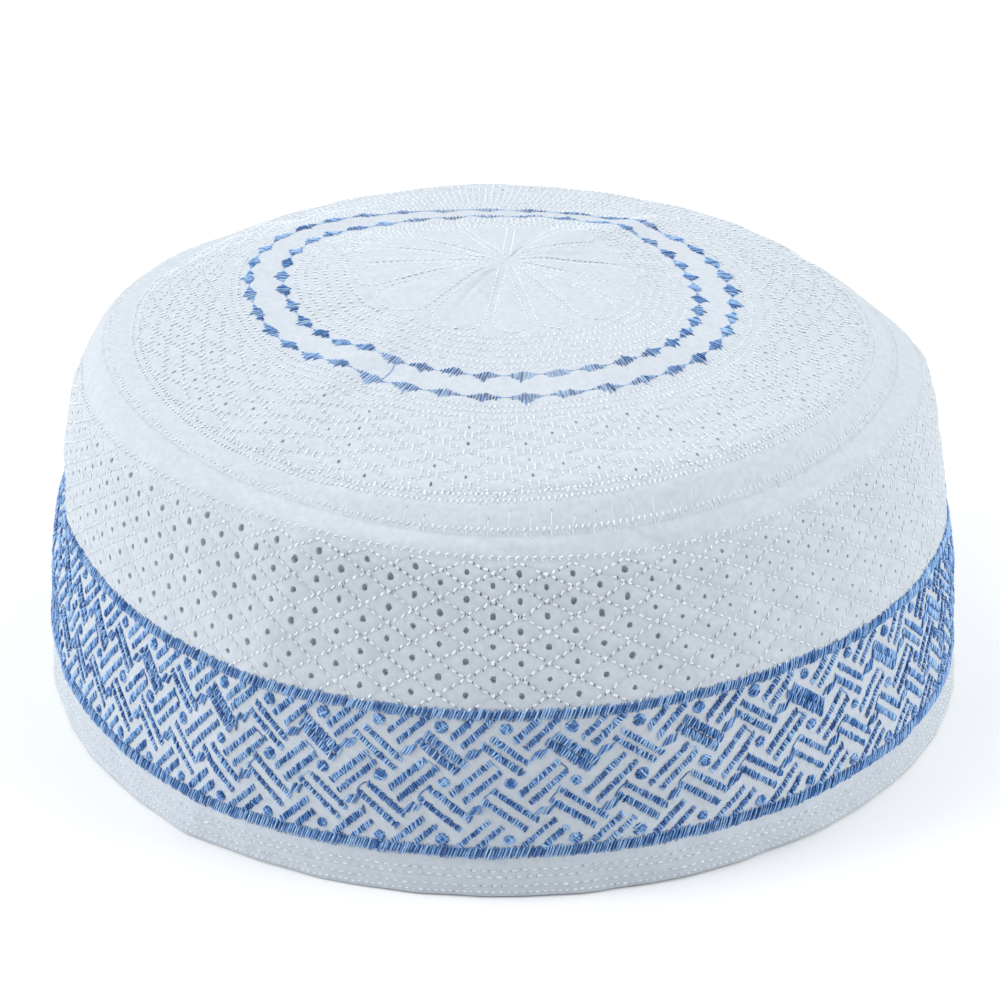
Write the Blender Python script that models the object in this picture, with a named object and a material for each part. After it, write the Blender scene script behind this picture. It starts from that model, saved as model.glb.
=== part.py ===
"""Prayer cap: a stiff quilted cloth cap with a domed top and a blue embroidered border.

The cap stands on its rim, open below, with its front towards -Y. The cloth's outer
face is one function of the angle round the cap and the slant, which is the distance
up the cloth from the rim, over the seam and along the crown to its middle. The wall,
the crown and every raised band are laid out on that surface.
Metres, +Z up, origin in the middle of the rim's resting plane.
"""
import math
from typing import NamedTuple

import bmesh
import bpy
import numpy as np
from mathutils import Vector
from mathutils.geometry import delaunay_2d_cdt

MM = 0.001

# Driving sizes
CLOTH_THICKNESS = 1.8 * MM
GAP = 0.3 * MM
PLAN_CENTRE = (1.37 * MM, -0.1 * MM)   # middle of the uneven rim, moved to the origin
WALL_COLUMNS = 78
CROWN_COLUMNS = 60

# The seam is a sunk line between two soft margins
MARGIN_RISE = 0.45 * MM
MARGIN_DISTANCE = 2.4 * MM
MARGIN_WIDTH = 1.4 * MM
GROOVE_DEPTH = 0.5 * MM
GROOVE_WIDTH = 0.9 * MM

# Embroidered border, by its slants
BORDER_RADIUS = 88.2 * MM
LOWER_LINE = (8.2 * MM, 10.9 * MM)
UPPER_LINE = (35.1 * MM, 37.5 * MM)
FIELD = (LOWER_LINE[1] + GAP, UPPER_LINE[0] - GAP)
BORDER_SINK = 0.5 * MM                 # dense stitching presses the cloth in
LINE_RISE = 0.6 * MM
FIELD_BASE_RISE = 0.15 * MM
RIB_RISE = 0.6 * MM
LINE_SHOULDER = 0.22                   # share of a line's width in each of its sloping sides
SINK_EDGE = 0.2 * MM                   # the step between bare and pressed-in cloth

# Basket weave of the border
REPEATS = 52
RIB_WIDTH = 3.1 * MM
RIB_BEVEL = 0.25 * MM
RIB_MARGIN = 0.3 * MM                  # between a cut rib and the field's edge
FIELD_BACK_RINGS = 4                   # rings of points across the band's hidden back
SAME_POINT = 1e-9                      # plan distance below which two points would merge

# Diamond chains of the crown
DIAMONDS = 39
CHAIN_DRIFT_BACK = 0.10                # the diamonds stand wider apart at the back
CHAIN_DRIFT_SIDES = 0.06               # and closer together at the sides
DIAMOND_HALF_HEIGHT = 1.5 * MM
LINK_HALF_HEIGHT = 0.3 * MM
CHAIN_RISE = 0.7 * MM
LINK_RISE = 0.5 * MM
CHAIN_TOP_SHARE = 0.45                 # width of a diamond's top against its foot

# Finish and colours
SMOOTHING_ANGLE = math.radians(40)
CLOTH_ROUGHNESS = 0.75
THREAD_ROUGHNESS = 0.4
CLOTH_WHITE = (0.79, 0.84, 0.91)
LINE_BLUE = (0.09, 0.25, 0.60)
WEAVE_BLUE = (0.16, 0.36, 0.70)
CHAIN_BLUE = (0.12, 0.30, 0.66)


class Level(NamedTuple):
    """A level line round the cap: its mean radius and height, in millimetres."""
    name: str
    radius: float
    height: float


class Wave(NamedTuple):
    """How a level line strays from its mean, in millimetres.

    east and north are a shift (or a tip, in height), oval and skew a two-fold wave
    along and across the axes, lobe_a and lobe_b a three-fold wave.
    """
    level: str
    east: float
    north: float
    oval: float
    skew: float
    lobe_a: float
    lobe_b: float


class Fold(NamedTuple):
    """A ridge (rise above 0) or dent along a line between two points of the cloth.

    Angles are in degrees, slants and sizes in millimetres. A sharp fold comes to a
    crest, a soft one is rounded.
    """
    name: str
    angle_from: float
    slant_from: float
    angle_to: float
    slant_to: float
    rise: float
    width: float
    sharp: bool


class Drift(NamedTuple):
    """How the wall's cloth is crowded round the cap: a wave of the turn, in degrees."""
    waves: int
    cosine: float
    sine: float


class RibRow(NamedTuple):
    """A row of the weave's ribs.

    lean is in degrees, slant and length are in millimetres, and start is the turn of the
    first rib, in repeats.
    """
    name: str
    lean: float
    slant: float
    length: float
    start: float


LEVELS = (
    Level("rim", 90.0, 0.0),
    Level("lower line", 89.2, 8.2),
    Level("middle of border", 88.2, 23.0),
    Level("upper line", 86.0, 37.3),
    Level("wall quilting", 83.1, 50.0),
    Level("wall top stitching", 79.2, 61.3),
    Level("seam", 75.3, 65.4),
    Level("crown first stitching", 71.2, 69.1),
    Level("crown quilting", 60.0, 72.8),
    Level("outer chain", 45.3, 76.6),
    Level("inner chain", 38.8, 77.4),
    Level("petals", 20.0, 80.8),
    Level("crown middle", 0.0, 82.2),
)

PLAN_WAVES = (
    Wave("rim", 0.6, 0.2, -0.2, -0.4, 0.8, 0.3),
    Wave("lower line", 0.5, 0.1, -0.3, -0.7, 0.5, 0.4),
    Wave("upper line", 0.5, 0.0, -0.3, -0.8, 0.3, 0.5),
    Wave("wall top stitching", 0.0, 0.1, 0.9, -0.2, 0.3, 0.3),
    Wave("seam", -0.1, -0.1, 0.1, -0.3, -0.1, 0.5),
    Wave("crown first stitching", 0.2, -0.3, -0.4, -0.2, 0.2, -0.1),
    Wave("outer chain", -1.1, -0.8, 0.2, -0.5, -1.0, -0.5),
    Wave("inner chain", -1.0, -0.8, 0.2, -0.7, -1.3, -0.6),
    Wave("crown middle", 0.5, 0.0, 0.0, 0.0, 0.0, 0.0),
)

HEIGHT_WAVES = (
    Wave("rim", 0.0, 0.0, 0.0, 0.0, 0.0, 0.0),
    Wave("lower line", -0.5, 0.2, 0.5, -0.6, -0.4, 0.5),
    Wave("upper line", -0.8, 0.3, 1.1, -0.5, -0.5, 0.5),
    Wave("wall top stitching", -0.7, -1.4, 1.1, -1.3, 1.5, -0.3),
    Wave("seam", -0.9, -0.4, 1.7, -0.6, 0.2, -0.2),
    Wave("crown first stitching", 0.1, 0.3, 0.5, -0.5, -0.6, -0.4),
    Wave("outer chain", -0.9, -0.1, 1.3, -0.5, -0.4, 0.5),
    Wave("inner chain", -0.7, -0.2, 0.9, -0.5, -0.6, 0.3),
    Wave("crown middle", 0.0, 0.0, 0.0, 0.0, 0.0, 0.0),
)

# The cap has been stored flat, folded across the line from 52 to 232 degrees
WALL_FOLDS = (
    Fold("front left crease", 232, 0, 246, 62, 1.0, 9.0, True),
    Fold("back right crease", 52, 0, 58, 50, 0.9, 10.0, True),
    Fold("front dent", 258, 24, 262, 56, -0.5, 16.0, False),
    Fold("right dent", 300, 30, 318, 58, -0.4, 14.0, False),
    Fold("back dent", 118, 20, 128, 52, -0.5, 18.0, False),
    Fold("left pinch", 166, 36.5, 190, 36.5, -1.2, 4.5, False),
)
CROWN_FOLDS = (
    Fold("front left ridge", 232, 80, 232, 138, 1.2, 5.0, False),
    Fold("back right ridge", 52, 96, 52, 138, 1.0, 5.0, False),
    Fold("left dip", 208, 98, 208, 112, -0.9, 9.0, False),
    Fold("front dip", 270, 92, 270, 106, -0.6, 9.0, False),
    Fold("left back dip", 140, 74, 158, 74, -0.8, 7.0, False),
    Fold("back dip", 58, 74, 84, 74, -0.5, 7.0, False),
)

# The wall's cloth is crowded at the two creases and spread between them
WALL_DRIFT = (Drift(1, 0.0, 0.8), Drift(2, 1.9, 0.0), Drift(3, -1.1, -0.3))

RIB_ROWS = (
    RibRow("A", 46, 34.0, 8.4, 0.02),
    RibRow("B", -40, 28.9, 8.6, 0.52),
    RibRow("C", 46, 23.4, 8.4, 0.085),
    RibRow("D", -40, 17.9, 8.6, 0.595),
    RibRow("E", 46, 12.0, 8.4, 0.085),
)


def level_slants() -> np.ndarray:
    """Distance of each level up the cloth from the rim, along straight steps."""
    radius = np.array([level.radius for level in LEVELS]) * MM
    height = np.array([level.height for level in LEVELS]) * MM
    return np.concatenate([[0.0], np.cumsum(np.hypot(np.diff(radius), np.diff(height)))])


SLANTS = level_slants()
SLANT_OF = {level.name: slant for level, slant in zip(LEVELS, SLANTS)}
SEAM = SLANT_OF["seam"]
MIDDLE = SLANT_OF["crown middle"]


def wave_columns(table: tuple) -> np.ndarray:
    """The six columns of a wave table at every level, filled in between its rows."""
    at = [SLANT_OF[row.level] for row in table]
    columns = [np.interp(SLANTS, at, [row[1 + i] * MM for row in table]) for i in range(6)]
    return np.stack(columns, axis=1)


PROFILE = np.column_stack([
    np.array([level.radius for level in LEVELS]) * MM,
    np.array([level.height for level in LEVELS]) * MM,
    wave_columns(PLAN_WAVES),
    wave_columns(HEIGHT_WAVES),
])


def smooth_profile(slant: np.ndarray) -> np.ndarray:
    """The profile's columns at a slant, on a smooth curve through the levels."""
    slopes = np.gradient(PROFILE, SLANTS, axis=0)
    slopes[-1, 0] = -1.0
    slopes[-1, 1:] = 0.0
    index = np.clip(np.searchsorted(SLANTS, slant, side="right") - 1, 0, len(SLANTS) - 2)
    step = SLANTS[index + 1] - SLANTS[index]
    t = ((slant - SLANTS[index]) / step)[..., None]
    step = step[..., None]
    return (PROFILE[index] * (1 + 2 * t) * (1 - t) ** 2
            + PROFILE[index + 1] * t * t * (3 - 2 * t)
            + slopes[index] * step * t * (1 - t) ** 2
            - slopes[index + 1] * step * t * t * (1 - t))


def core_point(angle: np.ndarray, slant: np.ndarray) -> np.ndarray:
    """The smooth cloth surface, before margins, folds and stitching."""
    columns = np.moveaxis(smooth_profile(slant), -1, 0)
    radius, height, east, north, oval, skew, lobe_a, lobe_b = columns[:8]
    radius = (radius + oval * np.cos(2 * angle) + skew * np.sin(2 * angle)
              + lobe_a * np.cos(3 * angle) + lobe_b * np.sin(3 * angle))
    tip_east, tip_north, saddle, twist, lift_a, lift_b = columns[8:]
    height = (height + tip_east * np.cos(angle) + tip_north * np.sin(angle)
              + saddle * np.cos(2 * angle) + twist * np.sin(2 * angle)
              + lift_a * np.cos(3 * angle) + lift_b * np.sin(3 * angle))
    x = radius * np.cos(angle) + east - PLAN_CENTRE[0]
    y = radius * np.sin(angle) + north - PLAN_CENTRE[1]
    return np.stack([x, y, height], axis=-1)


def outward(angle: np.ndarray, slant: np.ndarray) -> np.ndarray:
    """Unit normal of the smooth surface, in the upright plane through the axis."""
    step = 0.2 * MM
    low = core_point(angle, np.clip(slant - step, 0, MIDDLE))
    high = core_point(angle, np.clip(slant + step, 0, MIDDLE))
    run = high - low
    inward = -(run[..., 0] * np.cos(angle) + run[..., 1] * np.sin(angle))
    rise = run[..., 2]
    length = np.hypot(inward, rise)
    return np.stack([rise / length * np.cos(angle), rise / length * np.sin(angle), inward / length],
                    axis=-1)


def line_distance(x: np.ndarray, y: np.ndarray, start: tuple, end: tuple) -> np.ndarray:
    """Distance of plane points from the stretch between two points."""
    along = (end[0] - start[0], end[1] - start[1])
    share = ((x - start[0]) * along[0] + (y - start[1]) * along[1]) / (along[0] ** 2 + along[1] ** 2)
    share = np.clip(share, 0, 1)
    return np.hypot(x - start[0] - share * along[0], y - start[1] - share * along[1])


def fold_rise(angle: np.ndarray, slant: np.ndarray) -> np.ndarray:
    """How far the folds lift the cloth; the wall's are measured unrolled, the crown's in plan."""
    rise = np.zeros(np.broadcast(angle, slant).shape)
    for fold in WALL_FOLDS:
        turn = angle - math.radians(fold.angle_from)
        turn = (turn + math.pi) % (2 * math.pi) - math.pi
        end = (math.radians(fold.angle_to - fold.angle_from) * BORDER_RADIUS, fold.slant_to * MM)
        distance = line_distance(turn * BORDER_RADIUS, slant, (0.0, fold.slant_from * MM), end)
        rise = rise + fold.rise * MM * fold_shape(distance / (fold.width * MM), fold.sharp)
    for fold in CROWN_FOLDS:
        reach = MIDDLE - slant
        ends = [((MIDDLE - at * MM) * math.cos(math.radians(turn)),
                 (MIDDLE - at * MM) * math.sin(math.radians(turn)))
                for turn, at in ((fold.angle_from, fold.slant_from), (fold.angle_to, fold.slant_to))]
        distance = line_distance(reach * np.cos(angle), reach * np.sin(angle), ends[0], ends[1])
        rise = rise + fold.rise * MM * fold_shape(distance / (fold.width * MM), fold.sharp)
    return rise


def fold_shape(distance: np.ndarray, sharp: bool) -> np.ndarray:
    """Height of a fold against the distance from its line, from 1 down to 0."""
    if sharp:
        return np.exp(-distance)
    return np.exp(-distance ** 2)


def seam_rise(slant: np.ndarray) -> np.ndarray:
    """Soft margins beside the seam, and the groove that the seam lies in."""
    away = slant - SEAM
    margins = np.exp(-((np.abs(away) - MARGIN_DISTANCE) / MARGIN_WIDTH) ** 2)
    groove = np.exp(-(away / GROOVE_WIDTH) ** 2)
    return MARGIN_RISE * margins - GROOVE_DEPTH * groove


def cloth(angle: np.ndarray, slant: np.ndarray, lift: float = 0.0) -> np.ndarray:
    """Points of the cloth's outer face, or of a surface a lift above it."""
    angle, slant = np.broadcast_arrays(np.asarray(angle, float), np.asarray(slant, float))
    rise = seam_rise(slant) + fold_rise(angle, slant) + lift
    return core_point(angle, slant) + outward(angle, slant) * rise[..., None]


def lining_face(angle: np.ndarray, slant: np.ndarray) -> np.ndarray:
    """Points of the cloth's inner face, which follows the folds but not the seam's groove."""
    angle, slant = np.broadcast_arrays(np.asarray(angle, float), np.asarray(slant, float))
    rise = fold_rise(angle, slant) - CLOTH_THICKNESS
    return core_point(angle, slant) + outward(angle, slant) * rise[..., None]


def angles(count: int) -> np.ndarray:
    """Evenly spaced angles round the cap."""
    return np.arange(count) * (2 * math.pi / count)


def wall_angle(turn: np.ndarray) -> np.ndarray:
    """Angle of a place on the wall from its turn along the crowded cloth."""
    drift = sum(row.cosine * np.cos(row.waves * turn) + row.sine * np.sin(row.waves * turn)
                for row in WALL_DRIFT)
    return turn + np.radians(drift)


def plain_material(name: str, colour: tuple, roughness: float) -> bpy.types.Material:
    """A plain cloth or thread material."""
    material = bpy.data.materials.new(name)
    material.use_nodes = True
    shader = material.node_tree.nodes["Principled BSDF"]
    shader.inputs["Base Color"].default_value = (*colour, 1.0)
    shader.inputs["Roughness"].default_value = roughness
    shader.inputs["Metallic"].default_value = 0.0
    return material


def add_object(name: str, points: np.ndarray, faces: list, material: bpy.types.Material) -> None:
    """Adds one closed mesh with its faces pointing out."""
    shape = bmesh.new()
    corners = [shape.verts.new(point) for point in points]
    for face in faces:
        shape.faces.new([corners[i] for i in face])
    bmesh.ops.recalc_face_normals(shape, faces=shape.faces)
    mesh = bpy.data.meshes.new(name)
    shape.to_mesh(mesh)
    shape.free()
    mesh.shade_smooth()
    mesh.set_sharp_from_angle(angle=SMOOTHING_ANGLE)
    mesh.materials.append(material)
    bpy.context.collection.objects.link(bpy.data.objects.new(name, mesh))


def strip_faces(rings: int, columns: int, closed: bool) -> list:
    """Quads between rings of points, each ring a closed loop; closed joins the last to the first."""
    faces = []
    for ring in range(rings if closed else rings - 1):
        after = (ring + 1) % rings
        for column in range(columns):
            beside = (column + 1) % columns
            faces.append((ring * columns + column, ring * columns + beside,
                          after * columns + beside, after * columns + column))
    return faces


def ring_band(name: str, rings: list, material: bpy.types.Material) -> None:
    """A closed band: rings of points, one after the other round its cross-section."""
    points = np.concatenate(rings)
    add_object(name, points, strip_faces(len(rings), len(rings[0]), True), material)


def sunk_cloth(turn: np.ndarray, slant: float) -> np.ndarray:
    """A ring of the cloth's outer face where the border's stitching presses it in."""
    return cloth(turn, slant, -BORDER_SINK)


def build_side_wall(material: bpy.types.Material) -> None:
    """The standing wall: a cloth tube with a flat rim, sunk a little under the border."""
    turn = angles(WALL_COLUMNS)
    top = SEAM - GAP / 2
    hem_top = LOWER_LINE[0] - 2 * SINK_EDGE
    quilting_start = UPPER_LINE[1] + 2 * SINK_EDGE
    border_middle = SLANT_OF["middle of border"]
    sunk = (hem_top + SINK_EDGE, border_middle, quilting_start - SINK_EDGE)
    above = (quilting_start, SLANT_OF["wall quilting"], SLANT_OF["wall top stitching"],
             SEAM - MARGIN_DISTANCE, SEAM - GROOVE_WIDTH, top)
    outer = [cloth(turn, 0.0), cloth(turn, hem_top)]
    outer += [sunk_cloth(turn, slant) for slant in sunk]
    outer += [cloth(turn, slant) for slant in above]
    inner_slants = (top, SLANT_OF["wall top stitching"], SLANT_OF["wall quilting"],
                    SLANT_OF["upper line"], border_middle)
    inner = [lining_face(turn, slant) for slant in inner_slants]
    rim_inside = lining_face(turn, 0.0)
    outer[0][:, 2] = 0.0
    rim_inside[:, 2] = 0.0
    ring_band("side_wall", outer + inner + [rim_inside], material)


def build_crown_top(material: bpy.types.Material) -> None:
    """The domed top: a cloth sheet whose edge turns down into the seam."""
    turn = angles(CROWN_COLUMNS)
    edge = SEAM + GAP / 2
    shared = [SLANT_OF[name] for name in ("crown first stitching", "crown quilting", "outer chain")]
    outer_slants = (edge, SEAM + GROOVE_WIDTH, SEAM + MARGIN_DISTANCE, *shared,
                    SLANT_OF["inner chain"], SLANT_OF["petals"])
    inner_slants = (SLANT_OF["petals"], *reversed(shared), edge)
    rings = [cloth(turn, slant) for slant in outer_slants]
    under = [lining_face(turn, slant) for slant in inner_slants]
    columns = CROWN_COLUMNS
    points = np.concatenate(rings + under + [cloth(0.0, MIDDLE)[None], lining_face(0.0, MIDDLE)[None]])
    faces = strip_faces(len(rings), columns, False)
    start = len(rings) * columns
    faces += [tuple(start + i for i in face) for face in strip_faces(len(under), columns, False)]
    tip = start + len(under) * columns
    last_outer = (len(rings) - 1) * columns
    for column in range(columns):
        beside = (column + 1) % columns
        faces.append((last_outer + column, last_outer + beside, tip))
        faces.append((start + beside, start + column, tip + 1))
        bottom = tip - columns
        faces.append((bottom + column, bottom + beside, beside, column))
    add_object("crown_top", points, faces, material)


def build_border_line(name: str, edges: tuple, material: bpy.types.Material) -> None:
    """A satin line: a low cord with a rounded back, let into the sunk cloth."""
    turn = angles(WALL_COLUMNS)
    foot = GAP - BORDER_SINK
    shoulder = LINE_SHOULDER * (edges[1] - edges[0])
    section = ((edges[0], foot), (edges[0] + shoulder, LINE_RISE),
               (edges[1] - shoulder, LINE_RISE), (edges[1], foot))
    ring_band(name, [cloth(turn, slant, lift) for slant, lift in section], material)


def clip_to_field(outline: list, low: float, high: float) -> list:
    """Cuts a convex outline off below the low slant and above the high one."""
    for limit, sign in ((low, 1.0), (high, -1.0)):
        kept = []
        for start, end in zip(outline, outline[1:] + outline[:1]):
            inside_start = sign * (start[1] - limit)
            inside_end = sign * (end[1] - limit)
            if inside_start >= 0:
                kept.append(start)
            if inside_start * inside_end < 0:
                share = inside_start / (inside_start - inside_end)
                kept.append((start[0] + share * (end[0] - start[0]), limit))
        outline = kept
    return outline


def rib_outline(around: float, row: RibRow, inset: float) -> list:
    """Corners of one slanting rib as (distance round, slant)."""
    long_half = row.length * MM / 2 - inset
    wide_half = RIB_WIDTH / 2 - inset
    cosine, sine = math.cos(math.radians(row.lean)), math.sin(math.radians(row.lean))
    corners = []
    for along, across in ((-1, -1), (1, -1), (1, 1), (-1, 1)):
        a, b = along * long_half, across * wide_half
        corners.append((around + a * cosine - b * sine, row.slant * MM + a * sine + b * cosine))
    return corners


def build_woven_border(material: bpy.types.Material) -> None:
    """The basket weave: a thin band with raised ribs, leaning right and left row by row."""
    pitch = 2 * math.pi * BORDER_RADIUS / REPEATS
    low, high = FIELD[0] + RIB_MARGIN, FIELD[1] - RIB_MARGIN
    flat, lifts, loops = [], [], []
    for slant in FIELD:
        ring = [(turn, slant) for turn in angles(WALL_COLUMNS)]
        flat += ring
        lifts += [FIELD_BASE_RISE] * len(ring)
    for row in RIB_ROWS:
        for repeat in range(REPEATS):
            around = (repeat + row.start) * pitch
            for inset, lift in ((0.0, FIELD_BASE_RISE), (RIB_BEVEL, RIB_RISE)):
                outline = rib_outline(around, row, inset)
                outline = clip_to_field(outline, low + inset, high - inset)
                first = len(flat)
                flat += [(wall_angle(x / BORDER_RADIUS), y) for x, y in outline]
                lifts += [lift] * len(outline)
                loops.append(range(first, first + len(outline)))
    # The band is triangulated as a flat ring whose radius grows with the slant
    plan = [Vector(((1 + y / FIELD[1]) * math.cos(x), (1 + y / FIELD[1]) * math.sin(x))) for x, y in flat]
    edges = [(i, j) for loop in loops for i, j in zip(loop, [*loop[1:], loop[0]])]
    count = WALL_COLUMNS
    for start in (0, count):
        edges += [(start + i, start + (i + 1) % count) for i in range(count)]
    found, _, triangles, sources, _, _ = delaunay_2d_cdt(plan, edges, [], 0, SAME_POINT)
    assert len(found) == len(flat)
    order = [source[0] for source in sources]
    outside = [tuple(order[i] for i in triangle) for triangle in triangles]
    faces = [triangle for triangle in outside if not all(i < count for i in triangle)]
    points = cloth([x for x, _ in flat], [y for _, y in flat], np.array(lifts))
    turn = angles(count)
    inner_slants = np.linspace(FIELD[0], FIELD[1], FIELD_BACK_RINGS)
    inner = [cloth(turn, slant, GAP - BORDER_SINK) for slant in inner_slants]
    first = len(points)
    faces += [tuple(first + i for i in face) for face in strip_faces(len(inner), count, False)]
    last = first + (len(inner) - 1) * count
    for column in range(count):
        beside = (column + 1) % count
        faces.append((column, beside, first + beside, first + column))
        faces.append((count + beside, count + column, last + column, last + beside))
    add_object("woven_border", np.concatenate([points, *inner]), faces, material)


def build_diamond_chain(name: str, middle: float, material: bpy.types.Material) -> None:
    """A chain of flat-topped diamonds joined at their side corners by narrow links."""
    turn = angles(2 * DIAMONDS)
    turn = turn - CHAIN_DRIFT_BACK * np.cos(turn) - CHAIN_DRIFT_SIDES * np.sin(2 * turn)
    at_diamond = np.arange(2 * DIAMONDS) % 2 == 0
    half = np.where(at_diamond, DIAMOND_HALF_HEIGHT, LINK_HALF_HEIGHT)
    rise = np.where(at_diamond, CHAIN_RISE, LINK_RISE)
    top = half * CHAIN_TOP_SHARE
    rings = [cloth(turn, middle - half, GAP), cloth(turn, middle - top, rise),
             cloth(turn, middle + top, rise), cloth(turn, middle + half, GAP)]
    ring_band(name, rings, material)


def main() -> None:
    """Clears the scene and builds the cap."""
    for item in list(bpy.data.objects):
        bpy.data.objects.remove(item, do_unlink=True)
    build_side_wall(plain_material("wall cloth", CLOTH_WHITE, CLOTH_ROUGHNESS))
    build_crown_top(plain_material("crown cloth", CLOTH_WHITE, CLOTH_ROUGHNESS))
    build_border_line("border_lower_line", LOWER_LINE,
                      plain_material("lower line thread", LINE_BLUE, THREAD_ROUGHNESS))
    build_border_line("border_upper_line", UPPER_LINE,
                      plain_material("upper line thread", LINE_BLUE, THREAD_ROUGHNESS))
    build_woven_border(plain_material("weave thread", WEAVE_BLUE, THREAD_ROUGHNESS))
    build_diamond_chain("crown_ring_outer", SLANT_OF["outer chain"],
                        plain_material("outer chain thread", CHAIN_BLUE, THREAD_ROUGHNESS))
    build_diamond_chain("crown_ring_inner", SLANT_OF["inner chain"],
                        plain_material("inner chain thread", CHAIN_BLUE, THREAD_ROUGHNESS))


main()
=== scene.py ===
"""Prayer cap, dressed: quilted white cloth with stitched eyelets and blue satin embroidery.

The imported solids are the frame. Every piece here is laid out on one surface, the cloth's
outer face, which is a function of two values: the angle round the cap and the slant, the
distance up the cloth from the rim, over the seam and along the crown to its middle.
Lengths are metres and angles radians unless a name says otherwise. +Z is up.
"""

import logging
import math
from dataclasses import dataclass
from enum import Enum
from typing import Callable, NamedTuple

import bpy
import numpy as np
from mathutils import Matrix, Vector


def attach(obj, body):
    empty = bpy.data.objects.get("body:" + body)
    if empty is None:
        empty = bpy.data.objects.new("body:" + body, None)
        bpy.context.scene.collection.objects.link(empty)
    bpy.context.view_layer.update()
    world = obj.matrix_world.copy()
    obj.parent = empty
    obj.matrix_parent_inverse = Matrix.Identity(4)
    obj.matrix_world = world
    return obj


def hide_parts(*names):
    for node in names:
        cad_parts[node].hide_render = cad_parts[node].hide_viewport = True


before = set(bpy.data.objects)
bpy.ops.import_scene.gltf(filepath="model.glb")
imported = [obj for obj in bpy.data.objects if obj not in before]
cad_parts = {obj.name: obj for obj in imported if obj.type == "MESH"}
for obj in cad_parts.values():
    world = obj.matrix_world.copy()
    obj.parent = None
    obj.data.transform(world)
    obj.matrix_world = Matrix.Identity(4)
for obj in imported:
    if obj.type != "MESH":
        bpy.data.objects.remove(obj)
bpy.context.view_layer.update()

log = logging.getLogger("cap")
Array = np.ndarray
Pair = tuple[float, float]
Triple = tuple[float, float, float]
Piece = bpy.types.Object
Socket = bpy.types.NodeSocket
MM = 0.001
FULL_TURN = 2 * math.pi
CLOTH_CREASE = math.radians(60)
FRONT = math.radians(270)   # angle of the cap's front, seen by the camera
EDGE_POINTS = 8             # points round an eyelet's edge
DULL_SPECULAR = 0.35


class Level(NamedTuple):
    """A level line round the cap: its mean radius and height, in millimetres."""

    name: str
    radius: float
    height: float


class Wave(NamedTuple):
    """How a level line strays from its mean, in millimetres.

    east and north are a shift (or a tip, in height), oval and skew a two-fold wave
    along and across the axes, lobe_a and lobe_b a three-fold wave.
    """

    level: str
    east: float = 0.0
    north: float = 0.0
    oval: float = 0.0
    skew: float = 0.0
    lobe_a: float = 0.0
    lobe_b: float = 0.0


class Fold(NamedTuple):
    """A ridge (rise above 0) or dent along a line between two points, in degrees and millimetres."""

    name: str
    angle_from: float
    slant_from: float
    angle_to: float
    slant_to: float
    rise: float
    width: float
    sharp: bool


class Drift(NamedTuple):
    """How the wall's cloth is crowded round the cap: a wave of the turn, in degrees."""

    waves: int
    cosine: float
    sine: float


class WeaveRow(NamedTuple):
    """A row of the basket weave: pairs of bars, in degrees, millimetres and repeats."""

    name: str
    lean: float
    slant: float
    length: float
    apart: float
    start: float
    thick_every: int


class Opening(NamedTuple):
    """How far the wall's eyelets are open at an angle round the cap, in degrees; 1 is full size."""

    angle: float
    share: float


class Course(NamedTuple):
    """How a sewn thread runs from end to end, with a value for each point along it.

    share is the place between the ends, 0 to 1 or -1 to 1, height the height over the
    thread's rise, and width the width over its full width.
    """

    share: tuple[float, ...]
    height: tuple[float, ...]
    width: tuple[float, ...] = (1.0, 1.0, 1.0, 1.0)


class StitchRow(NamedTuple):
    """A row of small stitches round the cap, in millimetres; lean turns each stitch, in degrees."""

    name: str
    slant: float
    pitch: float
    length: float
    lean: float


LEVELS = (
    Level("rim", 90.0, 0.0),
    Level("lower line", 89.2, 8.2),
    Level("middle of border", 88.2, 23.0),
    Level("upper line", 86.0, 37.3),
    Level("wall quilting", 83.1, 50.0),
    Level("wall top stitching", 79.2, 61.3),
    Level("seam", 75.3, 65.4),
    Level("crown first stitching", 71.2, 69.1),
    Level("crown quilting", 60.0, 72.8),
    Level("outer chain", 45.3, 76.6),
    Level("inner chain", 38.8, 77.4),
    Level("petals", 20.0, 80.8),
    Level("crown middle", 0.0, 82.2),
)

PLAN_WAVES = (
    Wave("rim", 0.6, 0.2, -0.2, -0.4, 0.8, 0.3),
    Wave("lower line", 0.5, 0.1, -0.3, -0.7, 0.5, 0.4),
    Wave("upper line", 0.5, 0.0, -0.3, -0.8, 0.3, 0.5),
    Wave("wall top stitching", 0.0, 0.1, 0.9, -0.2, 0.3, 0.3),
    Wave("seam", -0.1, -0.1, 0.1, -0.3, -0.1, 0.5),
    Wave("crown first stitching", 0.2, -0.3, -0.4, -0.2, 0.2, -0.1),
    Wave("outer chain", -1.1, -0.8, 0.2, -0.5, -1.0, -0.5),
    Wave("inner chain", -1.0, -0.8, 0.2, -0.7, -1.3, -0.6),
    Wave("crown middle", 0.5),
)

HEIGHT_WAVES = (
    Wave("rim"),
    Wave("lower line", -0.5, 0.2, 0.5, -0.6, -0.4, 0.5),
    Wave("upper line", -0.8, 0.3, 1.1, -0.5, -0.5, 0.5),
    Wave("wall top stitching", -0.7, -1.4, 1.1, -1.3, 1.5, -0.3),
    Wave("seam", -0.9, -0.4, 1.7, -0.6, 0.2, -0.2),
    Wave("crown first stitching", 0.1, 0.3, 0.5, -0.5, -0.6, -0.4),
    Wave("outer chain", -0.9, -0.1, 1.3, -0.5, -0.4, 0.5),
    Wave("inner chain", -0.7, -0.2, 0.9, -0.5, -0.6, 0.3),
    Wave("crown middle"),
)

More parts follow.
